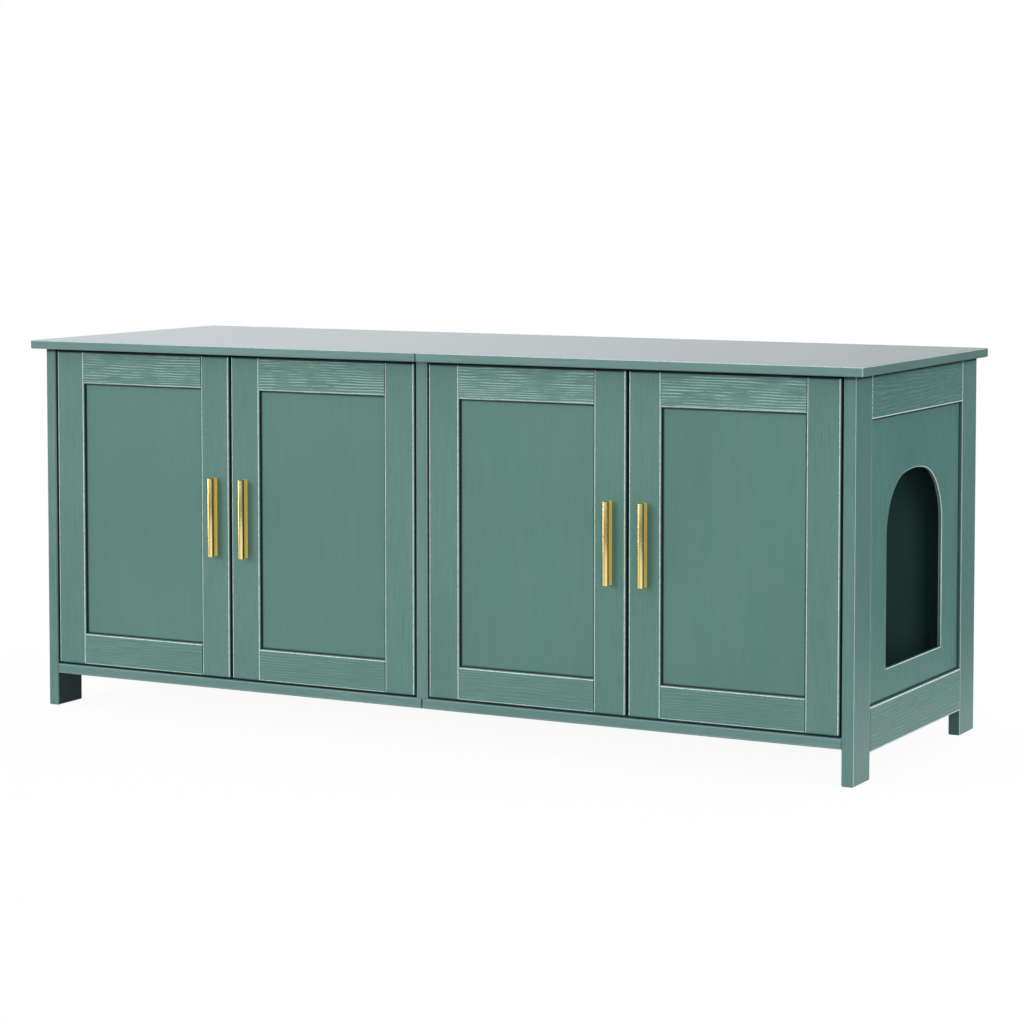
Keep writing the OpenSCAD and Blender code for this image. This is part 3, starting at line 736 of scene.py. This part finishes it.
@dataclass
class Boards:
    """The painted boards that keep their CAD shapes, and the strength of grain on each kind.

    The shadow is how far down a board is painted fully dark, as painted shadow under the top's overhang, and
    the rear shade is painted shade on the rear legs' fronts. The far and spare lengths are long enough that
    no edge line shows there.
    """

    post: Figure = Figure(pitch=5.5 * MM, wander=0.4, ridge=0.12, fibre=0.2, relief=0.1 * MM)
    leg: Figure = Figure(pitch=5.0 * MM, wander=0.7, ridge=0.2, fibre=0.3, cool=0.35, relief=0.15 * MM)
    rail: Figure = Figure(pitch=4.4 * MM, wander=0.8, ridge=0.9, fibre=0.25, relief=0.35 * MM)
    low_rail: Figure = Figure(pitch=4.8 * MM, wander=1.1, ridge=0.35, fibre=0.25, relief=0.25 * MM)
    side_rail: Figure = Figure(pitch=6.0 * MM, wander=1.2, ridge=0.5, fibre=0.35, relief=0.25 * MM)
    panel: Figure = Figure(pitch=7.0 * MM, wander=0.6, ridge=0.06, fibre=0.14, relief=0.06 * MM)
    sheet: Figure = Figure(pitch=7.0 * MM, wander=0.8, ridge=0.08, fibre=0.2, cool=0.4, relief=0.08 * MM)
    back: Figure = Figure(pitch=7.0 * MM, wander=0.8, ridge=0.05, fibre=0.16, cool=0.06, relief=0.06 * MM)
    # The shade tuples are painted shade on the sides that face the gaps and on the undersides.
    frame_paint: Paint = Paint(shade=(0.8, 0.85, 0.6))
    rail_paint: Paint = Paint(high=painted(166, 202, 194), shade=(0.8, 0.85, 0.6))
    # The side boards carry a painted light tone: the same green, bluer and less red, as the side is lit.
    side_lit_tone_paint: Paint = Paint(body=painted(80, 128, 121), reach=(0.9 * MM, 2.5 * MM, 2.5 * MM))
    leg_paint: Paint = Paint(
        body=painted(86, 130, 124), cool=painted(108, 136, 134), pale_edge_strength=0.6, reach=(0.6 * MM, 2.2 * MM, 1.3 * MM)
    )
    # The left legs' body is a painted shade of the leg paint.
    left_leg_shaded_body: Colour = painted(83, 123, 117)
    post_body: Colour = painted(98, 139, 132)
    panel_paint: Paint = Paint(high=painted(104, 147, 136), arris=Arris.NONE)
    top_paint: Paint = Paint(
        body=painted(106, 143, 138),
        coat=1.0,
        sheen=0.3,
        shade=(0.0, 0.0, 0.9),
        arris=Arris.ALL,
        pale_edge_strength=0.55,
        reach=(1.4 * MM, 1.4 * MM, 1.4 * MM),
    )
    low_paint: Paint = Paint(body=painted(94, 132, 126), pale_edge_strength=0.15)
    # The back boards' body is painted darker, as painted shade inside the cabinet.
    back_shaded_paint: Paint = Paint(body=painted(70, 112, 104), high=painted(84, 126, 116), arris=Arris.NONE)
    far: float = 9.0
    spare: float = 0.1
    shadow: float = 3.0 * MM
    rear_shade: float = 0.4
    made: int = 0

    def paint(
        self, node: str, run: Run, figure: Figure, paint: Paint, spare: Triple = (0.0, 0.0, 0.0), **more: Any
    ) -> None:
        """Paints one CAD board.

        Args:
            node: the CAD node.
            run: the way that its grain runs.
            figure: how strong the grain is.
            paint: its paint.
            spare: how far its box is made longer, where a seam isn't an edge.
            more: the paint's ends, opening or seam, where the board has them.
        """
        self.made += 1
        board = Board(node, Space.of(node, spare), run, figure, self.made, **more)
        dress(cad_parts[node], paint.make(board))

    def below(self, node: str, drop: float = 0.0) -> Space:
        """Gives a space far wider and lower than a board, which ends only at its top, less the drop: where
        painted shadow starts.
        """
        low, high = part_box(node)
        return Space((-self.far, low[1], -self.far), (self.far, high[1], high[2] - drop))

    def build(self) -> int:
        """Paints the whole carcass and the doors.

        Returns:
            How many boards were painted.
        """
        up = (0.0, 0.0, self.spare)
        halves = (
            ("left", self.spare, (0.0, 0.8, 0.0), self.left_leg_shaded_body),
            ("right", -self.spare, (0.8, 0.0, 0.0), self.leg_paint.body),
        )
        for half, seam, inner, body in halves:
            beyond = (seam, 0.0, -self.spare)
            self.paint(f"top_{half}", Run.ALONG_X, self.sheet, self.top_paint, beyond, seam=0.0)
            self.paint(f"bottom_{half}", Run.ALONG_X, self.sheet, self.low_paint, seam=0.0)
            self.paint(f"back_{half}", Run.ALONG_Z, self.back, self.back_shaded_paint)
            # The rear legs' fronts get painted shade.
            for name, front in zip(LEGS, (0.0, self.rear_shade)):
                leg = f"{half}_{name}"
                paint = replace(self.leg_paint, body=body, shade=(*inner, front))
                overhang_shadow = self.below(leg, self.shadow)
                self.paint(leg, Run.ALONG_Z, self.leg, paint, (seam, 0.0, 0.0), opening=overhang_shadow)
            rail = f"{half}_top_rail"
            overhang_shadow = self.below(rail, self.shadow)
            self.paint(rail, Run.ALONG_Y, self.side_rail, self.side_lit_tone_paint, up, ends=Ends.PALE, opening=overhang_shadow)
            self.paint(f"{half}_bottom_rail", Run.ALONG_Y, self.side_rail, self.side_lit_tone_paint, ends=Ends.DARK)
        opening = frame_opening("left_panel", "left", LEGS)
        self.paint("left_panel", Run.ALONG_Z, self.panel, self.panel_paint, opening=opening)
        self.paint("divider", Run.ALONG_Z, self.sheet, replace(self.leg_paint, body=self.post_body))
        self.paint("middle_foot", Run.ALONG_X, self.post, self.leg_paint)
        for door in DOORS:
            own = f"door_{door}"
            # Painted shadow under the top's overhang on the doors' upper ends.
            top_overhang_shadow = self.below(f"{own}_{STILES[0]}")
            for stile in STILES:
                self.paint(f"{own}_{stile}", Run.ALONG_Z, self.post, self.frame_paint, opening=top_overhang_shadow)
            self.paint(f"{own}_top_rail", Run.ALONG_X, self.rail, self.rail_paint, up, opening=top_overhang_shadow)
            self.paint(f"{own}_bottom_rail", Run.ALONG_X, self.low_rail, self.frame_paint)
            opening = frame_opening(f"{own}_panel", own, STILES)
            self.paint(f"{own}_panel", Run.ALONG_Z, self.panel, self.panel_paint, opening=opening)
        return self.made


@dataclass
class ArchedPanel:
    """The side panel with the arched entrance, whose rim is eased and has the pale line of wear and painted
    highlight. Lengths are in metres.

    The eye is how high in the arch the rays of the grid start, as a share of the arch's height.
    """

    width: float = 252.0 * MM
    height: float = 309.0 * MM
    sill: float = 162.0 * MM
    centre_y: float = 9.0 * MM
    crown: float = 280.0 * MM
    shoulder: float = 97.0 * MM
    ease: float = 1.4 * MM
    eye: float = 0.45
    steps: int = 220
    arc_steps: int = 40
    round_steps: int = 4
    seed: int = 77
    # The panel's body is the same painted light tone as the side boards.
    paint: Paint = Paint(body=painted(80, 128, 120), high=painted(108, 154, 147), arris=Arris.RIM)
    figure: Figure = Figure(pitch=6.0 * MM, wander=0.8, ridge=0.4, fibre=0.45, relief=0.15 * MM)

    def arch_line(self) -> np.ndarray:
        """Works out the arch as a closed line of corners, from the sill round and back.

        A shoulder arc starts upright at each jamb, and turns until its tangent meets the wide crown
        arc, whose centre is on the middle line. The middle of a shoulder arc lies one shoulder
        radius inside the jamb, and its distance to the crown's centre is the two radii's difference.

        Returns:
            One row of y and z for each corner.
        """
        half = self.width / 2.0
        inset = half - self.shoulder
        drop = math.sqrt((self.crown - self.shoulder) ** 2 - inset**2)
        spring = self.sill + self.height - (self.crown - drop)
        turn = math.atan2(drop, inset)
        side = np.linspace(0.0, turn, self.arc_steps)
        shoulder = np.stack([inset + self.shoulder * np.cos(side), spring + self.shoulder * np.sin(side)], 1)
        over = np.linspace(turn, math.pi - turn, self.arc_steps)[1:-1]
        crown = np.stack([self.crown * np.cos(over), spring - drop + self.crown * np.sin(over)], 1)
        mirror = shoulder[::-1] * np.array([-1.0, 1.0])
        sill = np.array([[-half, self.sill], [half, self.sill]])
        return np.concatenate([shoulder, crown, mirror, sill]) + np.array([self.centre_y, 0.0])

    def reach(self, line: np.ndarray, middle: np.ndarray, rays: np.ndarray) -> np.ndarray:
        """Measures how far a convex line is from a point inside it, in many directions at once.

        Each edge gives its distance from the point divided by the cosine between its outward
        normal and the ray. The least of those that are ahead is where the ray leaves.

        Args:
            line: the corners of the convex line, going round to the left.
            middle: the point inside.
            rays: one row for each direction, of length 1.

        Returns:
            The distance in each direction.
        """
        edge = np.roll(line, -1, axis=0) - line
        keep = np.linalg.norm(edge, axis=1) > TINY
        edge, start = edge[keep], line[keep]
        normal = np.stack([edge[:, 1], -edge[:, 0]], 1) / np.linalg.norm(edge, axis=1)[:, None]
        gap = ((start - middle) * normal).sum(1)
        ahead = rays @ normal.T
        return np.where(ahead > TINY, gap / np.maximum(ahead, TINY), np.inf).min(axis=1)

    def build(self) -> bpy.types.Object:
        """Builds the panel and hangs it on the cabinet.

        The surface is a grid. One way round it follows the rays from the middle of the arch. The
        other way it goes over the outer face, a quarter round into the hole, through the hole,
        back over the inner face, and down the outside edge.

        Returns:
            The panel.
        """
        low, high = (np.array(corner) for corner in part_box("arch_panel"))
        border = np.array([[low[1], low[2]], [high[1], low[2]], [high[1], high[2]], [low[1], high[2]]])
        line = self.arch_line()
        middle = np.array([self.centre_y, self.sill + self.eye * self.height])
        corners = np.concatenate([border, line[-2:]]) - middle
        whole = 2.0 * math.pi
        exact = np.arctan2(corners[:, 1], corners[:, 0]) % whole
        even = np.linspace(0.0, whole, self.steps, endpoint=False)
        turns = np.unique(np.round(np.concatenate([even, exact]), 7))
        rays = np.stack([np.cos(turns), np.sin(turns)], 1)
        hole = self.reach(line, middle, rays)
        rim = self.reach(border, middle, rays)
        quarter = np.linspace(0.0, math.pi / 2.0, self.round_steps)
        rise, fall = self.ease * (1.0 - np.cos(quarter)), self.ease * (1.0 - np.sin(quarter))
        out = np.concatenate([fall, rise])
        radius = np.concatenate([rim[:, None], hole[:, None] + out[None, :], rim[:, None]], axis=1)
        depth = np.concatenate([[high[0]], high[0] - rise, low[0] + fall, [low[0]]])
        yz = middle[None, None, :] + radius[:, :, None] * rays[:, None, :]
        points = np.concatenate([np.broadcast_to(depth[None, :, None], (*radius.shape, 1)), yz], axis=2)
        faces = tube_faces(len(rays), len(depth), True)
        piece = add_piece("arched_panel", points.reshape(-1, 3), faces, False)
        tidy_mesh(piece)
        space, opening = Space.of("arch_panel"), frame_opening("arch_panel", "right", LEGS)
        board = Board("arched_panel", space, Run.ALONG_Z, self.figure, self.seed, opening=opening)
        dress(piece, self.paint.make(board))
        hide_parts("arch_panel")
        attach(piece, "cabinet")
        return piece


@dataclass
class Pull:
    """A door pull: a rounded bead in front, a hollowed waist and a flat foot on the door.

    Lengths are in metres, the flare and lean of the waist's sides in degrees, and the crown's inset
    in radians. The heel and corner are how far the foot's end is drawn in and how high, and the
    straight is the share of the foot that stands upright. Each pair is a point of the bead's back:
    how far in or out from the side, and how far behind the crown or out from the neck.
    """

    door: int
    foot: float = 1.2 * MM
    neck: float = 9.0 * MM
    crown: float = 3.0 * MM
    flare: float = 33.0
    lean: float = 2.5
    ease: float = 0.55 * MM
    heel: float = 0.1 * MM
    corner: float = 0.3 * MM
    straight: float = 0.75
    crown_inset: float = 0.16
    lip: Pair = (0.5 * MM, 1.2 * MM)
    throat_pull: Pair = (0.15 * MM, 4.3 * MM)
    nose_pull: Pair = (0.2 * MM, 0.4 * MM)
    steps: int = 14
    bend_steps: int = 7
    round_steps: int = 5

    def half_section(self, half: float, out: float) -> np.ndarray:
        """Works out the right half of the section, from the door outwards.

        The foot is straight, with an eased corner. From it the side flares in along an arc, whose
        tilt goes from the flare's angle to almost upright at the neck. A bow leads from the neck
        out to the bead, which turns round a small nose and ends in the crown's arc.

        Args:
            half: half the pull's width.
            out: how far it stands out from the door.

        Returns:
            One row for each point: its distance from the middle line, and from the door.
        """
        start, end = math.radians(self.flare), math.radians(self.lean)
        radius = (self.neck - self.foot) / (math.sin(start) - math.sin(end))
        tilt = np.linspace(start, end, self.steps)
        side_x = half - self.heel - radius * (np.cos(tilt) - math.cos(start))
        side = np.stack([side_x, self.foot + radius * (math.sin(start) - np.sin(tilt))], 1)
        foot = np.array([[half - self.heel, 0.0], [half, self.corner], [half, self.foot * self.straight]])
        bow = (half**2 + self.crown**2) / (2.0 * self.crown)
        sweep = np.linspace(math.asin(half / bow) - self.crown_inset, 0.0, self.steps)
        crown = np.stack([bow * np.sin(sweep), out - bow + bow * np.cos(sweep)], 1)
        back = out - self.crown
        lip = np.array([half - self.lip[0], back - self.lip[1]])
        inward = np.array([side_x[-1] - self.throat_pull[0], self.neck + self.throat_pull[1]])
        outward = np.array([half + self.nose_pull[0], back - self.nose_pull[1]])
        throat, nose = self.bend(side[-1], inward, lip), self.bend(lip, outward, crown[0])
        section = np.concatenate([foot, side, throat, nose[1:-1], crown])
        section[:, 0] = np.minimum(section[:, 0], half)
        return section

    def bend(self, start: np.ndarray, pull: np.ndarray, end: np.ndarray) -> np.ndarray:
        """Draws a curve pulled to a point: (1 - t) squared start, 2 t (1 - t) point and t squared end."""
        t = np.linspace(0.0, 1.0, self.bend_steps + 1)[1:, None]
        return (1 - t) ** 2 * start + 2 * t * (1 - t) * pull + t**2 * end

    def build(self, finish: bpy.types.Material) -> bpy.types.Object:
        """Builds the pull as its section carried up the door, drawn in by a quarter round at each end.

        Args:
            finish: its plating.

        Returns:
            The pull.
        """
        low, high = (np.array(corner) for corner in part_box(f"door_{self.door}_pull"))
        half, out = (high[0] - low[0]) / 2.0, high[1] - low[1]
        right = self.half_section(half, out)
        left = right[::-1][1:] * np.array([-1.0, 1.0])
        section = np.concatenate([right, left])
        quarter = np.linspace(0.0, math.pi / 2.0, self.round_steps)
        inset = self.ease * (1.0 - np.sin(quarter))
        rise = self.ease * (1.0 - np.cos(quarter))
        levels = np.concatenate([[low[2]], low[2] + rise, high[2] - rise[::-1], [high[2]]])
        insets = np.concatenate([[half], inset, inset[::-1], [half]])
        shrink_x, front = (half - insets) / half, (out - insets) / out
        x = (low[0] + high[0]) / 2.0 + section[None, :, 0] * shrink_x[:, None]
        y = high[1] - section[None, :, 1] * np.where(insets >= half, 0.5, front)[:, None]
        z = np.broadcast_to(levels[:, None], x.shape)
        points = np.stack([x, y, z], axis=-1).reshape(-1, 3)
        piece = add_piece(f"pull_{self.door}", points, tube_faces(len(levels), len(section), False))
        tidy_mesh(piece)
        dress(piece, finish)
        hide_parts(f"door_{self.door}_pull")
        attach(piece, f"door_{self.door}")
        return piece


@dataclass
class Hardware:
    """Hinges, brackets, screws, dowels and cam fittings. Lengths in metres."""

    ease: float = 0.35 * MM
    nickel: Metal = Metal("nickel_plate", painted(224, 224, 222), painted(198, 199, 200), 0.2, 1200.0)
    zinc: Metal = Metal("bright_zinc", painted(205, 208, 212), painted(176, 180, 186), 0.28, 900.0)
    cast: Metal = Metal("cast_zinc", painted(186, 187, 188), painted(150, 152, 155), 0.42, 600.0, 0.08 * MM)
    beech: Beech = Beech()

    def build(self) -> int:
        """Dresses every fitting, and rounds the edges of the ones that show.

        Returns:
            How many pieces were dressed.
        """
        nickel, zinc, cast = self.nickel.make(), self.zinc.make(), self.cast.make()
        rounded = [(node, f"{node}_rounded", "cabinet") for node in ("hinge_arms", "brackets")]
        plain = {"wood_screws": zinc, "dowels": self.beech.make(), "cam_bolts": cast, "cam_discs": cast}
        for body in (f"door_{door}" for door in DOORS):
            rounded.append((f"{body}_hinge_cups", f"{body}_cups_rounded", body))
            plain |= {f"{body}_hinge_pins": zinc, f"{body}_screws": zinc}
        for node, name, body in rounded:
            softened_copy(node, name, self.ease, nickel, body)
        for node, metal in plain.items():
            dress(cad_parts[node], metal)
        return len(rounded) + len(plain)


@dataclass(frozen=True)
class Glow:
    """A soft patch of the room: where it is, how far it spreads and how bright it is. Angles in degrees."""

    azimuth: float
    height: float
    core: float
    edge: float
    level: float


@dataclass(frozen=True)
class Patch:
    """A round patch of the floor that a glossy surface sees as bright. Lengths in metres."""

    x: float
    y: float
    full: float
    gone: float
    level: float = 0.95


@dataclass(frozen=True)
class Lamp:
    """A soft lamp that looks at the object's middle. Lengths in metres, azimuth in degrees from the front.

    A mirrored lamp shows only as a highlight, and the others give all the other light.
    """

    name: str
    azimuth: float
    height: float
    distance: float
    wide: float
    tall: float
    power: float
    mirrored: bool = False


@dataclass
class Studio:
    """A white paper floor, a pale room and soft lamps.

    The floor's bounce is its tone for all rays but the camera's, the distant tone is what it falls
    off to, and the dim level is what a glossy surface sees of it outside the patches. Each fall is
    the pair of distances from the middle where a change starts and ends.
    """

    reach: float = 40.0
    floor_share: float = 0.94
    seen_fall: Pair = (1.4, 3.0)
    bounce: float = 0.48
    distant: float = 0.3
    tone_fall: Pair = (1.6, 4.5)
    dim: float = 0.05
    ahead: Patch = Patch(0.0, -1.2, 1.75, 2.8)
    aside: Patch = Patch(-3.2, 0.5, 1.7, 2.8)
    aim_height: float = 0.33
    room_level: float = 0.1
    cool: Colour = (0.955, 0.962, 1.0)
    glows: tuple[Glow, ...] = (
        Glow(-118.0, 22.0, 10.0, 66.0, 0.75),
        Glow(-34.0, 14.0, 8.0, 26.0, 1.9),
        Glow(-15.0, 20.0, 10.0, 60.0, 0.25),
        Glow(30.0, 16.0, 10.0, 60.0, 0.42),
    )
    lamps: tuple[Lamp, ...] = (
        Lamp("soft_left", -34.0, 2.3, 8.0, 4.2, 4.0, 170.0),
        Lamp("soft_front", 37.0, 1.8, 8.0, 1.4, 3.2, 90.0),
        Lamp("soft_right", 110.0, 2.4, 6.0, 4.2, 3.2, 166.0),
        Lamp("soft_back", 172.0, 2.4, 6.0, 4.4, 3.2, 190.0),
        Lamp("soft_above", 0.0, 2.5, 0.3, 3.6, 2.8, 37.0),
        Lamp("left_strip", -76.0, 0.8, 2.4, 0.8, 1.6, 17.0, True),
    )

    def away(self, sheet: Sheet, x: float = 0.0, y: float = 0.0) -> Strand:
        """Measures the distance over the floor from a place: the root of the sum of two squares."""
        east, north, _ = sheet.split(sheet.place((-x, -y, 0.0)))
        return (east * east + north * north) ** 0.5

    def bright(self, sheet: Sheet, patch: Patch) -> Strand:
        """Marks a bright patch of the floor, which fades out round its edge."""
        return sheet.ease(self.away(sheet, patch.x, patch.y), patch.full, patch.gone, patch.level, 0.0)

    def floor(self) -> None:
        """Lays the paper floor: white to the camera, apart from the object's own soft shadow.

        The paper's own tone falls off with distance, and there the camera sees plain white. A glossy
        surface sees it as bright in two round patches, in front and to the left, each of which fades out.
        """
        corners = np.array([[-1, -1, 0], [1, -1, 0], [1, 1, 0], [-1, 1, 0]], float) * self.reach
        piece = add_piece("paper_floor", corners, np.array([[0, 1, 2, 3]]), False)
        material, sheet = new_material("white_paper")
        away = self.away(sheet)
        white = sheet.blend(sheet.noise(sheet.place(), 40.0), (0.88, 0.88, 0.88), (0.92, 0.92, 0.92))
        path = sheet.node("ShaderNodeLightPath")
        camera, mirrored = sheet.take(path, "Is Camera Ray"), sheet.take(path, "Is Glossy Ray")
        near = sheet.blend(camera, (self.bounce,) * 3, white)
        tone = sheet.blend(sheet.ease(away, *self.tone_fall), near, (self.distant,) * 3)
        paper = sheet.take(sheet.node("ShaderNodeBsdfDiffuse", None, {"Color": tone}))
        lights = (sheet.node("ShaderNodeEmission", None, {"Strength": level}) for level in (self.dim, 1.0))
        dim, lit = (sheet.take(light) for light in lights)
        base = sheet.take(sheet.node("ShaderNodeMixShader", None, {0: mirrored, 1: paper, 2: dim}))
        seen = camera * sheet.ease(away, *self.seen_fall, self.floor_share, 1.0)
        patches = sheet.maths("MAXIMUM", self.bright(sheet, self.ahead), self.bright(sheet, self.aside))
        share = seen + mirrored * patches
        mixed = sheet.take(sheet.node("ShaderNodeMixShader", None, {0: share, 1: base, 2: lit}))
        sheet.node("ShaderNodeOutputMaterial", None, {"Surface": mixed})
        dress(piece, material)

    def room(self) -> None:
        """Fills the room with pale light: plain white to the camera, and brighter in a few soft patches."""
        world = bpy.data.worlds.new("pale_room")
        bpy.context.scene.world = world
        world.use_nodes = True
        sheet = Sheet(world.node_tree)
        ray = sheet.coords("Generated")
        level: Value = self.room_level
        for glow in self.glows:
            turn, rise = math.radians(glow.azimuth), math.radians(glow.height)
            aim = (math.sin(turn) * math.cos(rise), -math.cos(turn) * math.cos(rise), math.sin(rise))
            dot = sheet.node("ShaderNodeVectorMath", {"operation": "DOT_PRODUCT"}, {0: ray, 1: aim})
            core, edge = math.cos(math.radians(glow.core)), math.cos(math.radians(glow.edge))
            level = sheet.ease(sheet.take(dot, "Value"), edge, core, 0.0, glow.level) + level
        seen = sheet.take(sheet.node("ShaderNodeLightPath"), "Is Camera Ray")
        strength = sheet.maths("MAXIMUM", seen, level)
        tint = sheet.blend(seen, self.cool, (1.0, 1.0, 1.0))
        lit = sheet.node("ShaderNodeBackground", None, {"Color": tint, "Strength": strength})
        sheet.node("ShaderNodeOutputWorld", None, {"Surface": sheet.take(lit)})

    def hang(self, lamp: Lamp) -> None:
        """Hangs one soft lamp and turns it towards the middle of the object.

        Args:
            lamp: the lamp.
        """
        light = bpy.data.lights.new(lamp.name, "AREA")
        light.shape = "RECTANGLE"
        light.size, light.size_y = lamp.wide, lamp.tall
        light.energy = lamp.power
        made = put(lamp.name, light)
        turn = math.radians(lamp.azimuth)
        made.location = (math.sin(turn) * lamp.distance, -math.cos(turn) * lamp.distance, lamp.height)
        tilt = math.atan2(lamp.height - self.aim_height, lamp.distance)
        made.rotation_euler = (math.pi / 2.0 - tilt, 0.0, turn)
        made.visible_camera = False
        made.visible_glossy = lamp.mirrored
        made.visible_diffuse = not lamp.mirrored

    def build(self) -> None:
        """Sets up the floor, the room and the lamps."""
        self.floor()
        self.room()
        for lamp in self.lamps:
            self.hang(lamp)


@dataclass
class Viewpoint:
    """The photograph's camera, fitted to the cabinet's corners. Lengths in metres, angles in degrees."""

    place: Triple = (2.4267, -4.4779, 0.9437)
    yaw: float = 28.189
    down: float = 3.582
    focal_pixels: float = 2956.13
    frame_pixels: float = 1024.0
    sensor: float = 36.0
    shift_up: float = -0.15
    clip_end: float = 200.0

    def build(self) -> None:
        """Makes the camera and gives it to the scene."""
        data = bpy.data.cameras.new("photo_camera")
        data.sensor_fit = "HORIZONTAL"
        data.sensor_width = self.sensor
        data.lens = self.focal_pixels / self.frame_pixels * self.sensor
        data.shift_y = self.shift_up
        data.clip_end = self.clip_end
        made = put("photo_camera", data)
        made.location = self.place
        made.rotation_euler = (math.radians(90.0 - self.down), 0.0, math.radians(self.yaw))
        bpy.context.scene.camera = made


def main() -> None:
    """Builds the scene in order and reports each part of it."""
    logging.basicConfig(level=logging.INFO, format="%(message)s")
    bpy.context.scene.view_settings.view_transform = "Standard"
    Viewpoint().build()
    Studio().build()
    LOG.info("studio: floor, room and lamps")
    LOG.info("boards: %d painted", Boards().build())
    LOG.info("arched panel: %d faces", len(ArchedPanel().build().data.polygons))
    plating = Gold().make(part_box("door_1_handle_stile")[0][1])
    for door in DOORS:
        LOG.info("pull %d: %d faces", door, len(Pull(door).build(plating).data.polygons))
    LOG.info("hardware: %d pieces", Hardware().build())


if __name__ == "__main__":
    main()
